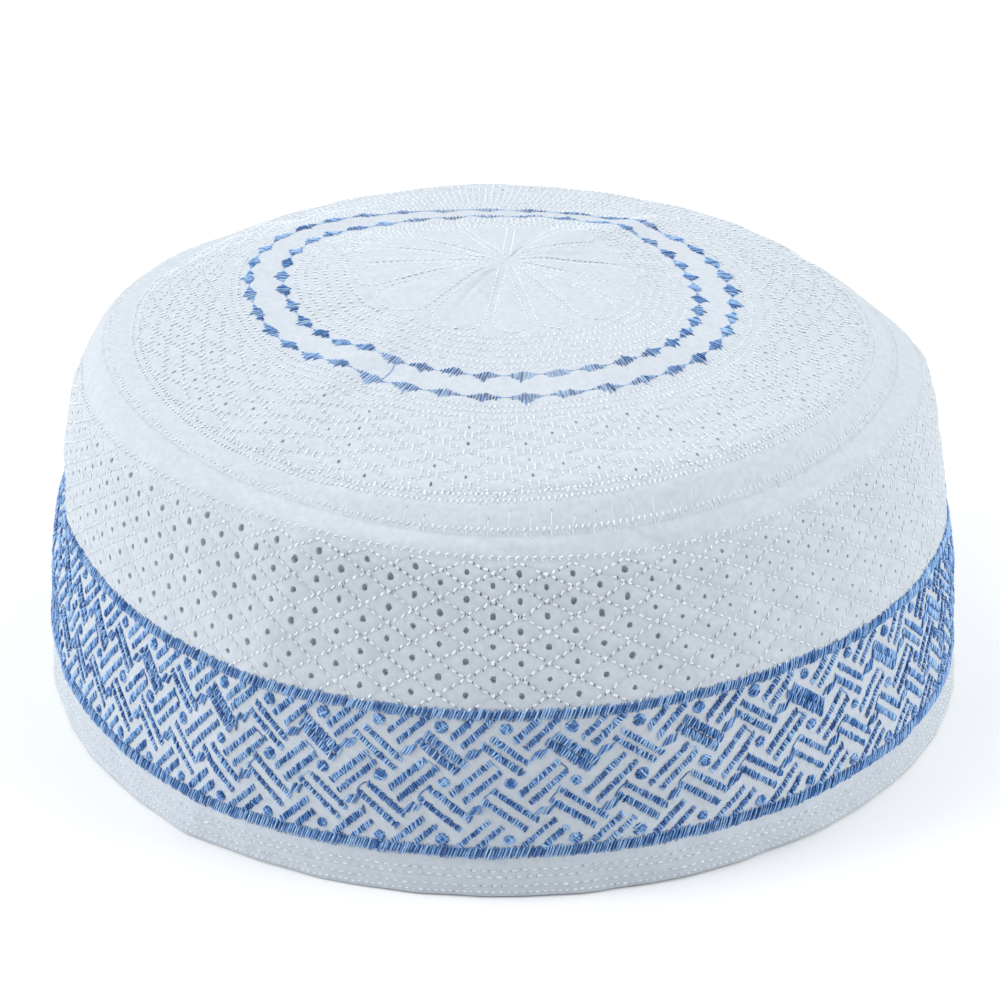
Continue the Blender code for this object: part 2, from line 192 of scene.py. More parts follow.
# The cap has been stored flat, folded across the line from 52 to 232 degrees
WALL_FOLDS = (
    Fold("front left crease", 232, 0, 246, 62, 1.0, 9.0, True),
    Fold("back right crease", 52, 0, 58, 50, 0.9, 10.0, True),
    Fold("front dent", 258, 24, 262, 56, -0.5, 16.0, False),
    Fold("right dent", 300, 30, 318, 58, -0.4, 14.0, False),
    Fold("back dent", 118, 20, 128, 52, -0.5, 18.0, False),
    Fold("left pinch", 166, 36.5, 190, 36.5, -1.2, 4.5, False),
)
CROWN_FOLDS = (
    Fold("front left ridge", 232, 80, 232, 138, 1.2, 5.0, False),
    Fold("back right ridge", 52, 96, 52, 138, 1.0, 5.0, False),
    Fold("left dip", 208, 98, 208, 112, -0.9, 9.0, False),
    Fold("front dip", 270, 92, 270, 106, -0.6, 9.0, False),
    Fold("left back dip", 140, 74, 158, 74, -0.8, 7.0, False),
    Fold("back dip", 58, 74, 84, 74, -0.5, 7.0, False),
)

# The cloth is crowded at the two creases and spread between them
WALL_DRIFT = (Drift(1, 0.0, 0.8), Drift(2, 1.9, 0.0), Drift(3, -1.1, -0.3))

WEAVE_ROWS = (
    WeaveRow("A", 46, 34.0, 8.6, 2.3, 0.02, 0),
    WeaveRow("B", -40, 28.9, 8.8, 2.0, 0.52, 2),
    WeaveRow("C", 46, 23.4, 8.6, 2.4, 0.085, 0),
    WeaveRow("D", -40, 17.9, 9.2, 2.5, 0.595, 0),
    WeaveRow("E", 46, 12.0, 8.6, 2.4, 0.085, 0),
)

HEM_ROWS = (
    StitchRow("hem top", 5.8, 1.65, 1.1, 0),
    StitchRow("hem second", 4.5, 1.65, 1.1, 0),
    StitchRow("hem third", 2.6, 1.65, 1.1, 0),
    StitchRow("hem bottom", 1.3, 1.2, 0.8, 0),
)
SEAM_ROWS = (
    StitchRow("wall top", 62.6, 1.5, 1.05, 42),
    StitchRow("wall top second", 62.1, 1.5, 0.7, -50),
    StitchRow("over the seam", 69.4, 1.1, 0.95, 78),
)
CROWN_ROWS = (
    StitchRow("crown first", 74.5, 0.98, 0.95, 78),
    StitchRow("crown second", 76.0, 0.98, 0.95, 78),
    StitchRow("before outer chain", 95.1, 1.0, 0.95, 78),
    StitchRow("nearer outer chain", 96.9, 1.0, 0.95, 78),
    StitchRow("next to outer chain", 98.4, 1.0, 0.95, 78),
    StitchRow("inside inner chain", 109.6, 1.10, 1.05, 75),
    StitchRow("centre ring 2", 111.4, 1.10, 1.05, 75),
    StitchRow("centre ring 3", 113.2, 1.12, 1.05, 75),
    StitchRow("centre ring 4", 115.0, 1.15, 1.05, 75),
    StitchRow("centre ring 5", 116.8, 1.15, 1.05, 75),
    StitchRow("centre ring 6", 118.5, 1.11, 1.05, 75),
)

# The eyelets of the right-hand side are drawn nearly shut
EYELET_OPENINGS = (
    Opening(0, 0.45),
    Opening(60, 0.6),
    Opening(130, 0.8),
    Opening(180, 0.65),
    Opening(215, 0.95),
    Opening(285, 1.0),
    Opening(303, 0.5),
    Opening(360, 0.45),
)

# Headings of the lines between the crown's petals, in degrees
PETAL_EDGES = (12, 40, 62, 85, 109, 139, 160, 180, 201, 235, 265, 285, 304, 329, 347)

# How each kind of thread comes up out of the cloth and goes back into it
WHITE_COURSE = Course((0.0, 0.25, 0.75, 1.0), (-1.8, 1.0, 1.0, -1.8), (0.55, 1.0, 1.0, 0.55))
LINE_COURSE = Course((0.0, 0.16, 0.5, 0.84, 1.0), (-0.2, 0.75, 1.0, 0.75, -0.2), (0.6, 1.0, 1.05, 1.0, 0.6))
BAR_COURSE = Course((-1.0, -0.55, 0.55, 1.0), (-0.3, 0.9, 0.9, -0.3), (0.6, 1.0, 1.0, 0.6))
DOT_COURSE = Course((-1.0, -0.5, 0.5, 1.0), (-0.3, 1.0, 1.0, -0.3))
JOIN_COURSE = Course((-1.0, -0.5, 0.5, 1.0), (1.0, 1.0, 1.0, 1.0))
STROKE_COURSE = Course((-1.0, -0.6, 0.6, 1.0), (-0.3, 0.8, 0.8, -0.3))
CHAIN_COURSE = Course((-1.0, -0.6, 0.6, 1.0), (-0.4, 0.9, 0.9, -0.4), (0.55, 1.0, 1.0, 0.55))


class Lean(Enum):
    """Which way a slanting line climbs, seen from outside the cap."""

    RIGHT = 1
    LEFT = -1


class NetLine(NamedTuple):
    """The stitches along one family of a net's lines, in millimetres.

    length is a share of a stitch's pitch. twist is how far a stitch's upper end is raised
    and its lower end lowered, so that a row looks like a cord. width is a factor on the
    thread's width, hole the tone of the painted shadow at each needle hole, and shift moves the rows up the
    cloth.
    """

    lean: Lean
    stitches: int
    length: float
    twist: float
    width: float
    hole: float
    shift: float


WALL_NET_LINES = (
    NetLine(Lean.LEFT, 35, 0.7, 0.0, 1.05, 0.25, 0.0),
    NetLine(Lean.RIGHT, 35, 0.55, 0.22, 1.1, 0.25, 0.0),
)
CROWN_NET_LINES = tuple(NetLine(lean, 36, 0.14, 0.25, 1.15, 0.95, shift)
                        for lean in Lean for shift in (-0.3, 0.3))


def unit(vectors: Array) -> Array:
    """Vectors scaled to length one along the last axis."""
    return vectors / np.maximum(np.linalg.norm(vectors, axis=-1, keepdims=True), 1e-12)


def line_distance(x: Array, y: Array, start: tuple, end: tuple) -> Array:
    """Distance of plane points from the stretch between two points.

    The foot of the point on the line is held between the two ends, and the distance is
    the length from there to the point.

    Args:
        x: First coordinates of the points.
        y: Second coordinates of the points.
        start: One end of the stretch.
        end: The other end.

    Returns:
        The distances, in the same unit.
    """
    along = (end[0] - start[0], end[1] - start[1])
    share = ((x - start[0]) * along[0] + (y - start[1]) * along[1]) / (along[0] ** 2 + along[1] ** 2)
    share = np.clip(share, 0, 1)
    return np.hypot(x - start[0] - share * along[0], y - start[1] - share * along[1])


@dataclass
class CapSurface:
    """The cloth's outer face as a function of the angle round the cap and the slant."""

    thickness: float = 1.8 * MM
    wall_radius: float = 88.2 * MM
    centre: Pair = (1.37 * MM, -0.1 * MM)
    margin_rise: float = 0.05 * MM
    margin_distance: float = 2.4 * MM
    margin_width: float = 1.4 * MM
    groove_depth: float = 0.03 * MM
    groove_width: float = 0.6 * MM
    seam_stitches: int = 130
    scallop: float = 0.05 * MM
    scallop_middle: float = 0.3
    calm_reach: float = 4 * MM
    normal_step: float = 0.2 * MM
    drift_rounds: int = 6

    def __post_init__(self) -> None:
        """Works out the slant of every level and the table that the surface is read from."""
        radius = np.array([level.radius for level in LEVELS]) * MM
        height = np.array([level.height for level in LEVELS]) * MM
        steps = np.hypot(np.diff(radius), np.diff(height))
        self.slants = np.concatenate([[0.0], np.cumsum(steps)])
        self.slant_of = {level.name: slant for level, slant in zip(LEVELS, self.slants)}
        self.seam = self.slant_of["seam"]
        self.middle = self.slant_of["crown middle"]
        self.profile = np.column_stack([radius, height, self.wave_columns(PLAN_WAVES),
                                        self.wave_columns(HEIGHT_WAVES)])

    def wave_columns(self, table: tuple[Wave, ...]) -> Array:
        """The six columns of a wave table at every level, filled in between its rows."""
        at = [self.slant_of[row.level] for row in table]
        columns = [np.interp(self.slants, at, [row[1 + i] * MM for row in table]) for i in range(6)]
        return np.stack(columns, axis=1)

    def smooth_profile(self, slant: Array) -> Array:
        """The table's columns at a slant, on a smooth curve through the levels.

        Between two levels each column is the cubic that meets both values and both
        slopes. A slope is the mean run of its neighbours, and at the middle of the crown
        the radius closes at a slope of minus one while the rest stays level.

        Args:
            slant: Distances up the cloth from the rim.

        Returns:
            The columns, with one more axis than slant.
        """
        slopes = np.gradient(self.profile, self.slants, axis=0)
        slopes[-1, 0] = -1.0
        slopes[-1, 1:] = 0.0
        index = np.searchsorted(self.slants, slant, side="right") - 1
        index = np.clip(index, 0, len(self.slants) - 2)
        step = self.slants[index + 1] - self.slants[index]
        t = ((slant - self.slants[index]) / step)[..., None]
        step = step[..., None]
        return (self.profile[index] * (1 + 2 * t) * (1 - t) ** 2
                + self.profile[index + 1] * t * t * (3 - 2 * t)
                + slopes[index] * step * t * (1 - t) ** 2
                - slopes[index + 1] * step * t * t * (1 - t))

    def core_point(self, angle: Array, slant: Array) -> Array:
        """The smooth cloth surface, before margins, folds and stitching.

        Radius and height each are the level's mean plus its tip, its two-fold and its
        three-fold wave of the angle; the plan shift and the frame's centre come last.

        Args:
            angle: Angles round the cap.
            slant: Slants, of the same shape.

        Returns:
            Points, with a last axis of three.
        """
        columns = np.moveaxis(self.smooth_profile(slant), -1, 0)
        radius, height, east, north, oval, skew, lobe_a, lobe_b = columns[:8]
        radius = (radius + oval * np.cos(2 * angle) + skew * np.sin(2 * angle)
                  + lobe_a * np.cos(3 * angle) + lobe_b * np.sin(3 * angle))
        tip_east, tip_north, saddle, twist, lift_a, lift_b = columns[8:]
        height = (height + tip_east * np.cos(angle) + tip_north * np.sin(angle)
                  + saddle * np.cos(2 * angle) + twist * np.sin(2 * angle)
                  + lift_a * np.cos(3 * angle) + lift_b * np.sin(3 * angle))
        x = radius * np.cos(angle) + east - self.centre[0]
        y = radius * np.sin(angle) + north - self.centre[1]
        return np.stack([x, y, height], axis=-1)

    def outward(self, angle: Array, slant: Array) -> Array:
        """Unit normal of the smooth surface, in the upright plane through the axis.

        The run between two points a little down and up the cloth, turned a quarter out.

        Args:
            angle: Angles round the cap.
            slant: Slants, of the same shape.

        Returns:
            Unit vectors, with a last axis of three.
        """
        low = self.core_point(angle, np.clip(slant - self.normal_step, 0, self.middle))
        high = self.core_point(angle, np.clip(slant + self.normal_step, 0, self.middle))
        run = high - low
        inward = -(run[..., 0] * np.cos(angle) + run[..., 1] * np.sin(angle))
        rise = run[..., 2]
        length = np.hypot(inward, rise)
        return np.stack([rise / length * np.cos(angle), rise / length * np.sin(angle), inward / length],
                        axis=-1)

    def fold_rise(self, angle: Array, slant: Array) -> Array:
        """How far the folds lift the cloth.

        A sharp fold falls off as the exponential of minus the distance from its line, a
        soft one as that of minus its square. The wall's folds are measured on the cloth
        unrolled, the crown's in plan.

        Args:
            angle: Angles round the cap.
            slant: Slants, of the same shape.

        Returns:
            The rise at each place.
        """
        rise = np.zeros(np.broadcast(angle, slant).shape)
        for fold in WALL_FOLDS:
            turn = angle - math.radians(fold.angle_from)
            turn = (turn + math.pi) % FULL_TURN - math.pi
            end = (math.radians(fold.angle_to - fold.angle_from) * self.wall_radius, fold.slant_to * MM)
            distance = line_distance(turn * self.wall_radius, slant, (0.0, fold.slant_from * MM), end)
            rise = rise + fold.rise * MM * self.fold_shape(distance / (fold.width * MM), fold.sharp)
        reach = self.middle - slant
        for fold in CROWN_FOLDS:
            ends = [((self.middle - at * MM) * math.cos(math.radians(turn)),
                     (self.middle - at * MM) * math.sin(math.radians(turn)))
                    for turn, at in ((fold.angle_from, fold.slant_from), (fold.angle_to, fold.slant_to))]
            distance = line_distance(reach * np.cos(angle), reach * np.sin(angle), ends[0], ends[1])
            rise = rise + fold.rise * MM * self.fold_shape(distance / (fold.width * MM), fold.sharp)
        return rise

    @staticmethod
    def fold_shape(distance: Array, sharp: bool) -> Array:
        """Height of a fold against the distance from its line, from 1 down to 0."""
        return np.exp(-distance) if sharp else np.exp(-distance ** 2)

    def seam_line(self, angle: Array) -> Array:
        """Slant of the seam: a scalloped line that each tall stitch pulls down to a point.

        The pull is one minus the sine of half a stitch's turn, squared, times the scallop.

        Args:
            angle: Angles round the cap.

        Returns:
            The seam's slant at each angle.
        """
        pull = (1 - np.abs(np.sin(angle * self.seam_stitches / 2))) ** 2
        return self.seam + self.scallop * (self.scallop_middle - pull)

    def seam_rise(self, angle: Array, slant: Array) -> Array:
        """Soft margins beside the seam, and the groove that the seam lies in."""
        away = slant - self.seam_line(angle)
        margins = np.exp(-((np.abs(away) - self.margin_distance) / self.margin_width) ** 2)
        groove = np.exp(-(away / self.groove_width) ** 2)
        return self.margin_rise * margins - self.groove_depth * groove

    def calm(self, slant: Array) -> Array:
        """Share of the cloth's unevenness that is left near the seam: 0 on it, 1 a calm reach away."""
        return np.clip(np.abs(slant - self.seam) / self.calm_reach, 0, 1)

    def face(self, angle: Array, slant: Array, lift: Array | float = 0.0) -> Array:
        """Points of the cloth's outer face, or of a surface a lift above it."""
        angle, slant = np.broadcast_arrays(np.asarray(angle, float), np.asarray(slant, float))
        return self.raised(angle, slant, self.seam_rise(angle, slant) + self.fold_rise(angle, slant) + lift)

    def lining(self, angle: Array, slant: Array, lift: Array | float = 0.0) -> Array:
        """Points of the cloth's inner face, which follows the folds but not the seam's groove."""
        angle, slant = np.broadcast_arrays(np.asarray(angle, float), np.asarray(slant, float))
        return self.raised(angle, slant, self.fold_rise(angle, slant) - self.thickness + lift)

    def raised(self, angle: Array, slant: Array, rise: Array) -> Array:
        """Points a rise above the smooth surface, none lower than the floor under the rim."""
        points = self.core_point(angle, slant) + self.outward(angle, slant) * rise[..., None]
        points[..., 2] = np.maximum(points[..., 2], 0.0)
        return points

    def radius_at(self, slant: Array) -> Array:
        """Mean radius of the cloth at a slant."""
        return np.interp(slant, self.slants, self.profile[:, 0])

    def wall_angle(self, turn: Array) -> Array:
        """Angle of a place on the wall from its turn along the cloth, which the creases crowd."""
        drift = sum(row.cosine * np.cos(row.waves * turn) + row.sine * np.sin(row.waves * turn)
                    for row in WALL_DRIFT)
        return turn + np.radians(drift)

    def wall_turn(self, angle: Array) -> Array:
        """Turn along the cloth of an angle on the wall: wall_angle() undone by repeated correction."""
        turn = angle
        for _ in range(self.drift_rounds):
            turn = turn + angle - self.wall_angle(turn)
        return turn


class MeshDraft:
    """Points and faces gathered as whole arrays, then written to one mesh."""

    def __init__(self) -> None:
        """Starts empty."""
        self.points: list[Array] = []
        self.tones: list[Array] = []
        self.faces: list[Array] = []
        self.charts: list[Array] = []
        self.total = 0

    def add(self, points: Array, faces: list[Array], tone: Array | float = 0.5,
            charts: list[Array] | None = None) -> None:
        """Adds points with the faces between them.

        Args:
            points: Points, n by 3.
            faces: Blocks of faces, each block with one number of corners.
            tone: Shade of each point, 0 dark to 1 light.
            charts: For each block, the flat coordinates of its corners, if the piece has any.
        """
        self.points.append(points)
        self.tones.append(np.broadcast_to(tone, len(points)))
        self.faces += [block + self.total for block in faces]
        if charts is None:
            charts = [np.zeros((*block.shape, 2)) for block in faces]
        self.charts += charts
        self.total += len(points)

    def write(self, name: str, material: bpy.types.Material, crease: float = math.pi) -> Piece:
        """Writes one smooth mesh object and leaves out points that no face uses.

        Args:
            name: The piece's name.
            material: Its material.
            crease: Angle between two faces above which the edge between them is sharp.

        Returns:
            The new object, at the origin.
        """
        corners = np.concatenate([block.ravel() for block in self.faces])
        sizes = np.concatenate([np.full(len(block), block.shape[1]) for block in self.faces])
        used, corners = np.unique(corners, return_inverse=True)
        mesh = bpy.data.meshes.new(name)
        mesh.vertices.add(len(used))
        mesh.vertices.foreach_set("co", np.concatenate(self.points)[used].astype(np.float32).ravel())
        mesh.loops.add(len(corners))
        mesh.loops.foreach_set("vertex_index", corners.astype(np.int32).ravel())
        mesh.polygons.add(len(sizes))
        mesh.polygons.foreach_set("loop_start", (np.cumsum(sizes) - sizes).astype(np.int32))
        chart = mesh.uv_layers.new(name="cloth")
        flat = np.concatenate([block.reshape(-1) for block in self.charts])
        chart.data.foreach_set("uv", flat.astype(np.float32))
        tone = mesh.attributes.new("tone", "FLOAT", "POINT")
        tone.data.foreach_set("value", np.concatenate(self.tones)[used].astype(np.float32))
        mesh.update(calc_edges=True)
        mesh.shade_smooth()
        if crease < math.pi:
            mesh.set_sharp_from_angle(angle=crease)
        mesh.materials.append(material)
        piece = bpy.data.objects.new(name, mesh)
        bpy.context.scene.collection.objects.link(piece)
        log.info("%s: %d triangles", name, int((sizes - 2).sum()))
        return piece


def add_strands(draft: MeshDraft, centre: Array, normal: Array, half_width: Array,
                half_height: Array | float, sides: int, tone: Array | float, crest: float = 0.0) -> None:
    """Adds closed threads, each a ring of corners carried along a row of points.

    Corner j of a ring stands off its centre by the half width times the cosine of its
    turn, towards the thread's left, and by the half height times the sine, along the
    cloth's normal; the first corner is the thread's crest. Flat end faces close it.

    Args:
        draft: The mesh to add to.
        centre: Points along the threads, threads by points by 3.
        normal: Cloth normals there.
        half_width: Half widths, threads by points.
        half_height: Half heights, threads by points.
        sides: Corners of a ring.
        tone: Shade of each thread, 0 dark to 1 light.
        crest: How much lighter the crest is, a painted highlight; the flanks are darker by half as much,
            painted shade.
    """
    count, steps = centre.shape[:2]
    tangent = unit(np.gradient(centre, axis=1))
    left = unit(np.cross(normal, tangent))
    up = np.cross(tangent, left)
    turn = math.pi / 2 + np.arange(sides) * FULL_TURN / sides
    width = np.broadcast_to(half_width, (count, steps))[..., None, None]
    height = np.broadcast_to(half_height, (count, steps))[..., None, None]
    ring = (centre[:, :, None] + np.cos(turn)[:, None] * width * left[:, :, None]
            + np.sin(turn)[:, None] * height * up[:, :, None])
    index = np.arange(count * steps * sides).reshape(count, steps, sides)
    beside = np.roll(index, -1, axis=2)
    walls = np.stack([index[:, :-1], beside[:, :-1], beside[:, 1:], index[:, 1:]], axis=-1)
    ends = np.concatenate([index[:, 0, ::-1], index[:, -1]])
    # Painted highlight on the crest and painted shade on the flanks
    shade = np.broadcast_to(tone, count)[:, None, None] + crest * np.sin(turn)
    shade = np.broadcast_to(shade, index.shape)
    draft.add(ring.reshape(-1, 3), [walls.reshape(-1, 4), ends], shade.ravel())


class NodeSketch:
    """A short way to write a material's nodes."""

    def __init__(self, name: str) -> None:
        """Starts a material that has only its shader and output."""
        self.material = bpy.data.materials.new(name)
        self.material.use_nodes = True
        self.nodes = self.material.node_tree.nodes
        self.links = self.material.node_tree.links
        self.shader = self.nodes["Principled BSDF"]

    def add(self, kind: str, **settings: object) -> bpy.types.Node:
        """Adds a node and sets its own properties."""
        node = self.nodes.new(kind)
        for name, value in settings.items():
            setattr(node, name, value)
        return node

    def join(self, source: Socket, target: Socket) -> None:
        """Links two sockets."""
        self.links.new(source, target)

    def math(self, operation: str, first: object, second: object = None) -> Socket:
        """Adds a Math node on sockets or numbers and returns its result."""
        node = self.add("ShaderNodeMath", operation=operation)
        for socket, value in zip(node.inputs, (first, second)):
            if isinstance(value, Socket):
                self.join(value, socket)
            elif value is not None:
                socket.default_value = value
        return node.outputs[0]

    def noise(self, vector: Socket, scale: float, detail: float = 2.0) -> Socket:
        """Adds a Noise texture and returns its value."""
        node = self.add("ShaderNodeTexNoise")
        node.inputs["Scale"].default_value = scale
        node.inputs["Detail"].default_value = detail
        self.join(vector, node.inputs["Vector"])
        return node.outputs["Fac"]

    def ramp(self, value: Socket, stops: tuple) -> Socket:
        """Adds a colour ramp of (place, colour) stops and returns its colour."""
        node = self.add("ShaderNodeValToRGB")
        elements = node.color_ramp.elements
        while len(elements) < len(stops):
            elements.new(0.5)
        for element, (place, colour) in zip(elements, stops):
            element.position = place
            element.color = (*colour, 1.0)
        self.join(value, node.inputs["Fac"])
        return node.outputs["Color"]

    def bump(self, height: Socket, distance: float) -> None:
        """Adds a bump of a depth in metres on top of those already there."""
        node = self.add("ShaderNodeBump")
        node.inputs["Strength"].default_value = 1.0
        node.inputs["Distance"].default_value = distance
        self.join(height, node.inputs["Height"])
        normal = self.shader.inputs["Normal"]
        if normal.is_linked:
            self.join(normal.links[0].from_socket, node.inputs["Normal"])
        self.join(node.outputs["Normal"], normal)

    def gloss(self, roughness: float, sheen: float, sheen_roughness: float) -> None:
        """Sets the shader's plain values."""
        self.shader.inputs["Roughness"].default_value = roughness
        self.shader.inputs["Specular IOR Level"].default_value = DULL_SPECULAR
        self.shader.inputs["Sheen Weight"].default_value = sheen
        self.shader.inputs["Sheen Roughness"].default_value = sheen_roughness


@dataclass(frozen=True)
class ClothFinish:
    """White cotton: a plain weave, soft mottling, a faint sheen and painted shade along the stitched lines.
    """

    name: str
    light: Triple = (0.63, 0.685, 0.745)
    dark: Triple = (0.56, 0.615, 0.675)
    weave_pitch: float = 0.42 * MM
    weave_depth: float = 0.012 * MM
    mottle_scale: float = 900.0
    mottle_stops: Pair = (0.3, 0.65)
    crumple_scale: float = 420.0
    crumple_depth: float = 0.12 * MM
    # Strength of the painted shade along the stitched lines and the seam
    painted_shade_strength: float = 0.1
    roughness: float = 0.82
    sheen: float = 0.15
    sheen_roughness: float = 0.5

    def material(self) -> bpy.types.Material:
        """Builds the cloth's nodes.

        The weave is the product of a sine across and a sine up the cloth's own chart,
        and the crumple a coarse noise on the object's coordinates. Where the mesh's tone
        is below 1, at the stitched lines and the seam, the colour is darkened by painted shade.

        Returns:
            The material.
        """
        sketch = NodeSketch(self.name)
        place = sketch.add("ShaderNodeTexCoord")
        chart = sketch.add("ShaderNodeSeparateXYZ")
        sketch.join(place.outputs["UV"], chart.inputs[0])
        wave = FULL_TURN / self.weave_pitch
        across = sketch.math("SINE", sketch.math("MULTIPLY", chart.outputs["X"], wave))
        up = sketch.math("SINE", sketch.math("MULTIPLY", chart.outputs["Y"], wave))
        weave = sketch.math("MULTIPLY", across, up)
        mottle = sketch.noise(place.outputs["Object"], self.mottle_scale, 6.0)
        colour = sketch.ramp(mottle, tuple(zip(self.mottle_stops, (self.dark, self.light))))
        tone = sketch.add("ShaderNodeAttribute", attribute_name="tone")
        # Painted shade: the colour is darkened where the tone falls, near stitched lines and the seam
        shade = sketch.math("MULTIPLY", tone.outputs["Fac"], self.painted_shade_strength)
        shaded = sketch.add("ShaderNodeVectorMath", operation="SCALE")
        sketch.join(colour, shaded.inputs[0])
        sketch.join(sketch.math("ADD", shade, 1 - self.painted_shade_strength), shaded.inputs["Scale"])
        sketch.join(shaded.outputs[0], sketch.shader.inputs["Base Color"])
        sketch.bump(sketch.noise(place.outputs["Object"], self.crumple_scale, 3.0), self.crumple_depth)
        sketch.bump(weave, self.weave_depth)
        sketch.gloss(self.roughness, self.sheen, self.sheen_roughness)
        return sketch.material


@dataclass(frozen=True)
class ThreadFinish:
    """Embroidery thread: glossy strands, each with its own tone between three colours."""

    name: str
    dark: Triple
    middle: Triple
    light: Triple
    roughness: float = 0.42
    sheen: float = 0.35
    sheen_roughness: float = 0.4
    tone_stops: Triple = (0.1, 0.5, 0.95)
    patch_scale: float = 900.0
    fibre_scale: float = 5200.0
    fibre_depth: float = 0.04 * MM

    def material(self) -> bpy.types.Material:
        """Builds the thread's nodes: the tone of each strand, blurred by fine fibres."""
        sketch = NodeSketch(self.name)
        place = sketch.add("ShaderNodeTexCoord")
        tone = sketch.add("ShaderNodeAttribute", attribute_name="tone")
        fibres = sketch.noise(place.outputs["Object"], self.fibre_scale)
        patches = sketch.noise(place.outputs["Object"], self.patch_scale)
        strayed = sketch.math("ADD", tone.outputs["Fac"], sketch.math("SUBTRACT", patches, 0.5))
        colour = sketch.ramp(strayed, tuple(zip(self.tone_stops, (self.dark, self.middle, self.light))))
        sketch.join(colour, sketch.shader.inputs["Base Color"])
        sketch.bump(fibres, self.fibre_depth)
        sketch.gloss(self.roughness, self.sheen, self.sheen_roughness)
        return sketch.material


class SheetGrid:
    """A grid of places on the cloth, closed round the cap, into which eyelets are cut."""

    def __init__(self, angles: Array, slants: Array) -> None:
        """Starts a whole grid.

        Args:
            angles: Angle of each column.
            slants: Slant of each row and column.
        """
        self.slant = slants.copy()
        self.angle = np.repeat(angles[None, :], len(slants), axis=0)
        self.dip = np.zeros(self.slant.shape)
        self.kept = np.ones((len(slants) - 1, len(angles)), bool)
        self.index = np.arange(self.slant.size).reshape(self.slant.shape)
        self.eyelets = np.zeros((0, EDGE_POINTS), int)

    def cut(self, rows: Array, columns: Array, radius: Array, radius_at: Callable, narrow: float,
            dip: float) -> None:
        """Cuts a round eyelet at each given grid point.

        The four faces round the point go, and the eight points of their edge move onto a
        circle, which may be narrowed: the angle by the radius times the cosine over the
        cap's radius there, the slant by the radius times the sine.

        Args:
            rows: Row of each eyelet.
            columns: Column of each eyelet.
            radius: Radius of each eyelet at the eight points of its edge.
            radius_at: Gives the cap's radius at a slant.
            narrow: Width of an eyelet over its height.
            dip: How far the eyelet's edge is drawn in.
        """
        count = self.slant.shape[1]
        around = np.array([1, 1, 0, -1, -1, -1, 0, 1])
        upward = np.array([0, 1, 1, 1, 0, -1, -1, -1])
        r = rows[:, None] + upward
        c = (columns[:, None] + around) % count
        turn = np.arange(EDGE_POINTS) * FULL_TURN / EDGE_POINTS
        slant = self.slant[rows, columns][:, None] + radius * np.sin(turn)
        shift = narrow * radius * np.cos(turn) / radius_at(slant)
        wraps = (self.angle[r, c] - self.angle[rows, columns][:, None]) / FULL_TURN
        self.angle[r, c] = self.angle[rows, columns][:, None] + shift + np.round(wraps) * FULL_TURN
        self.slant[r, c] = slant
        self.dip[r, c] = dip
        for up in (0, -1):
            for side in (0, -1):
                self.kept[rows + up, (columns + side) % count] = False
        self.eyelets = self.index[r, c]

    def triangles(self, height: Array) -> tuple[Array, Array, Array]:
        """The kept faces as triangles, with the unrolled angle and the slant of their corners.

        Each face is split along its lower diagonal, so a groove of the cloth is an edge.

        Args:
            height: Height of the cloth at each grid point.

        Returns:
            Point index, angle and slant of the triangles' corners.
        """
        count = self.slant.shape[1]
        row, column = np.nonzero(self.kept)
        r = np.stack([row, row, row + 1, row + 1], axis=-1)
        c = np.stack([column, column + 1, column + 1, column], axis=-1)
        wrap = c // count
        c = c % count
        level = height[r, c]
        first = level[:, 0] + level[:, 2] <= level[:, 1] + level[:, 3]
        split = np.where(first[:, None], [0, 1, 2, 0, 2, 3], [1, 2, 3, 1, 3, 0])
        blocks = [self.index[r, c], self.angle[r, c] + FULL_TURN * wrap, self.slant[r, c]]
        return tuple(np.take_along_axis(block, split, axis=1).reshape(-1, 3) for block in blocks)


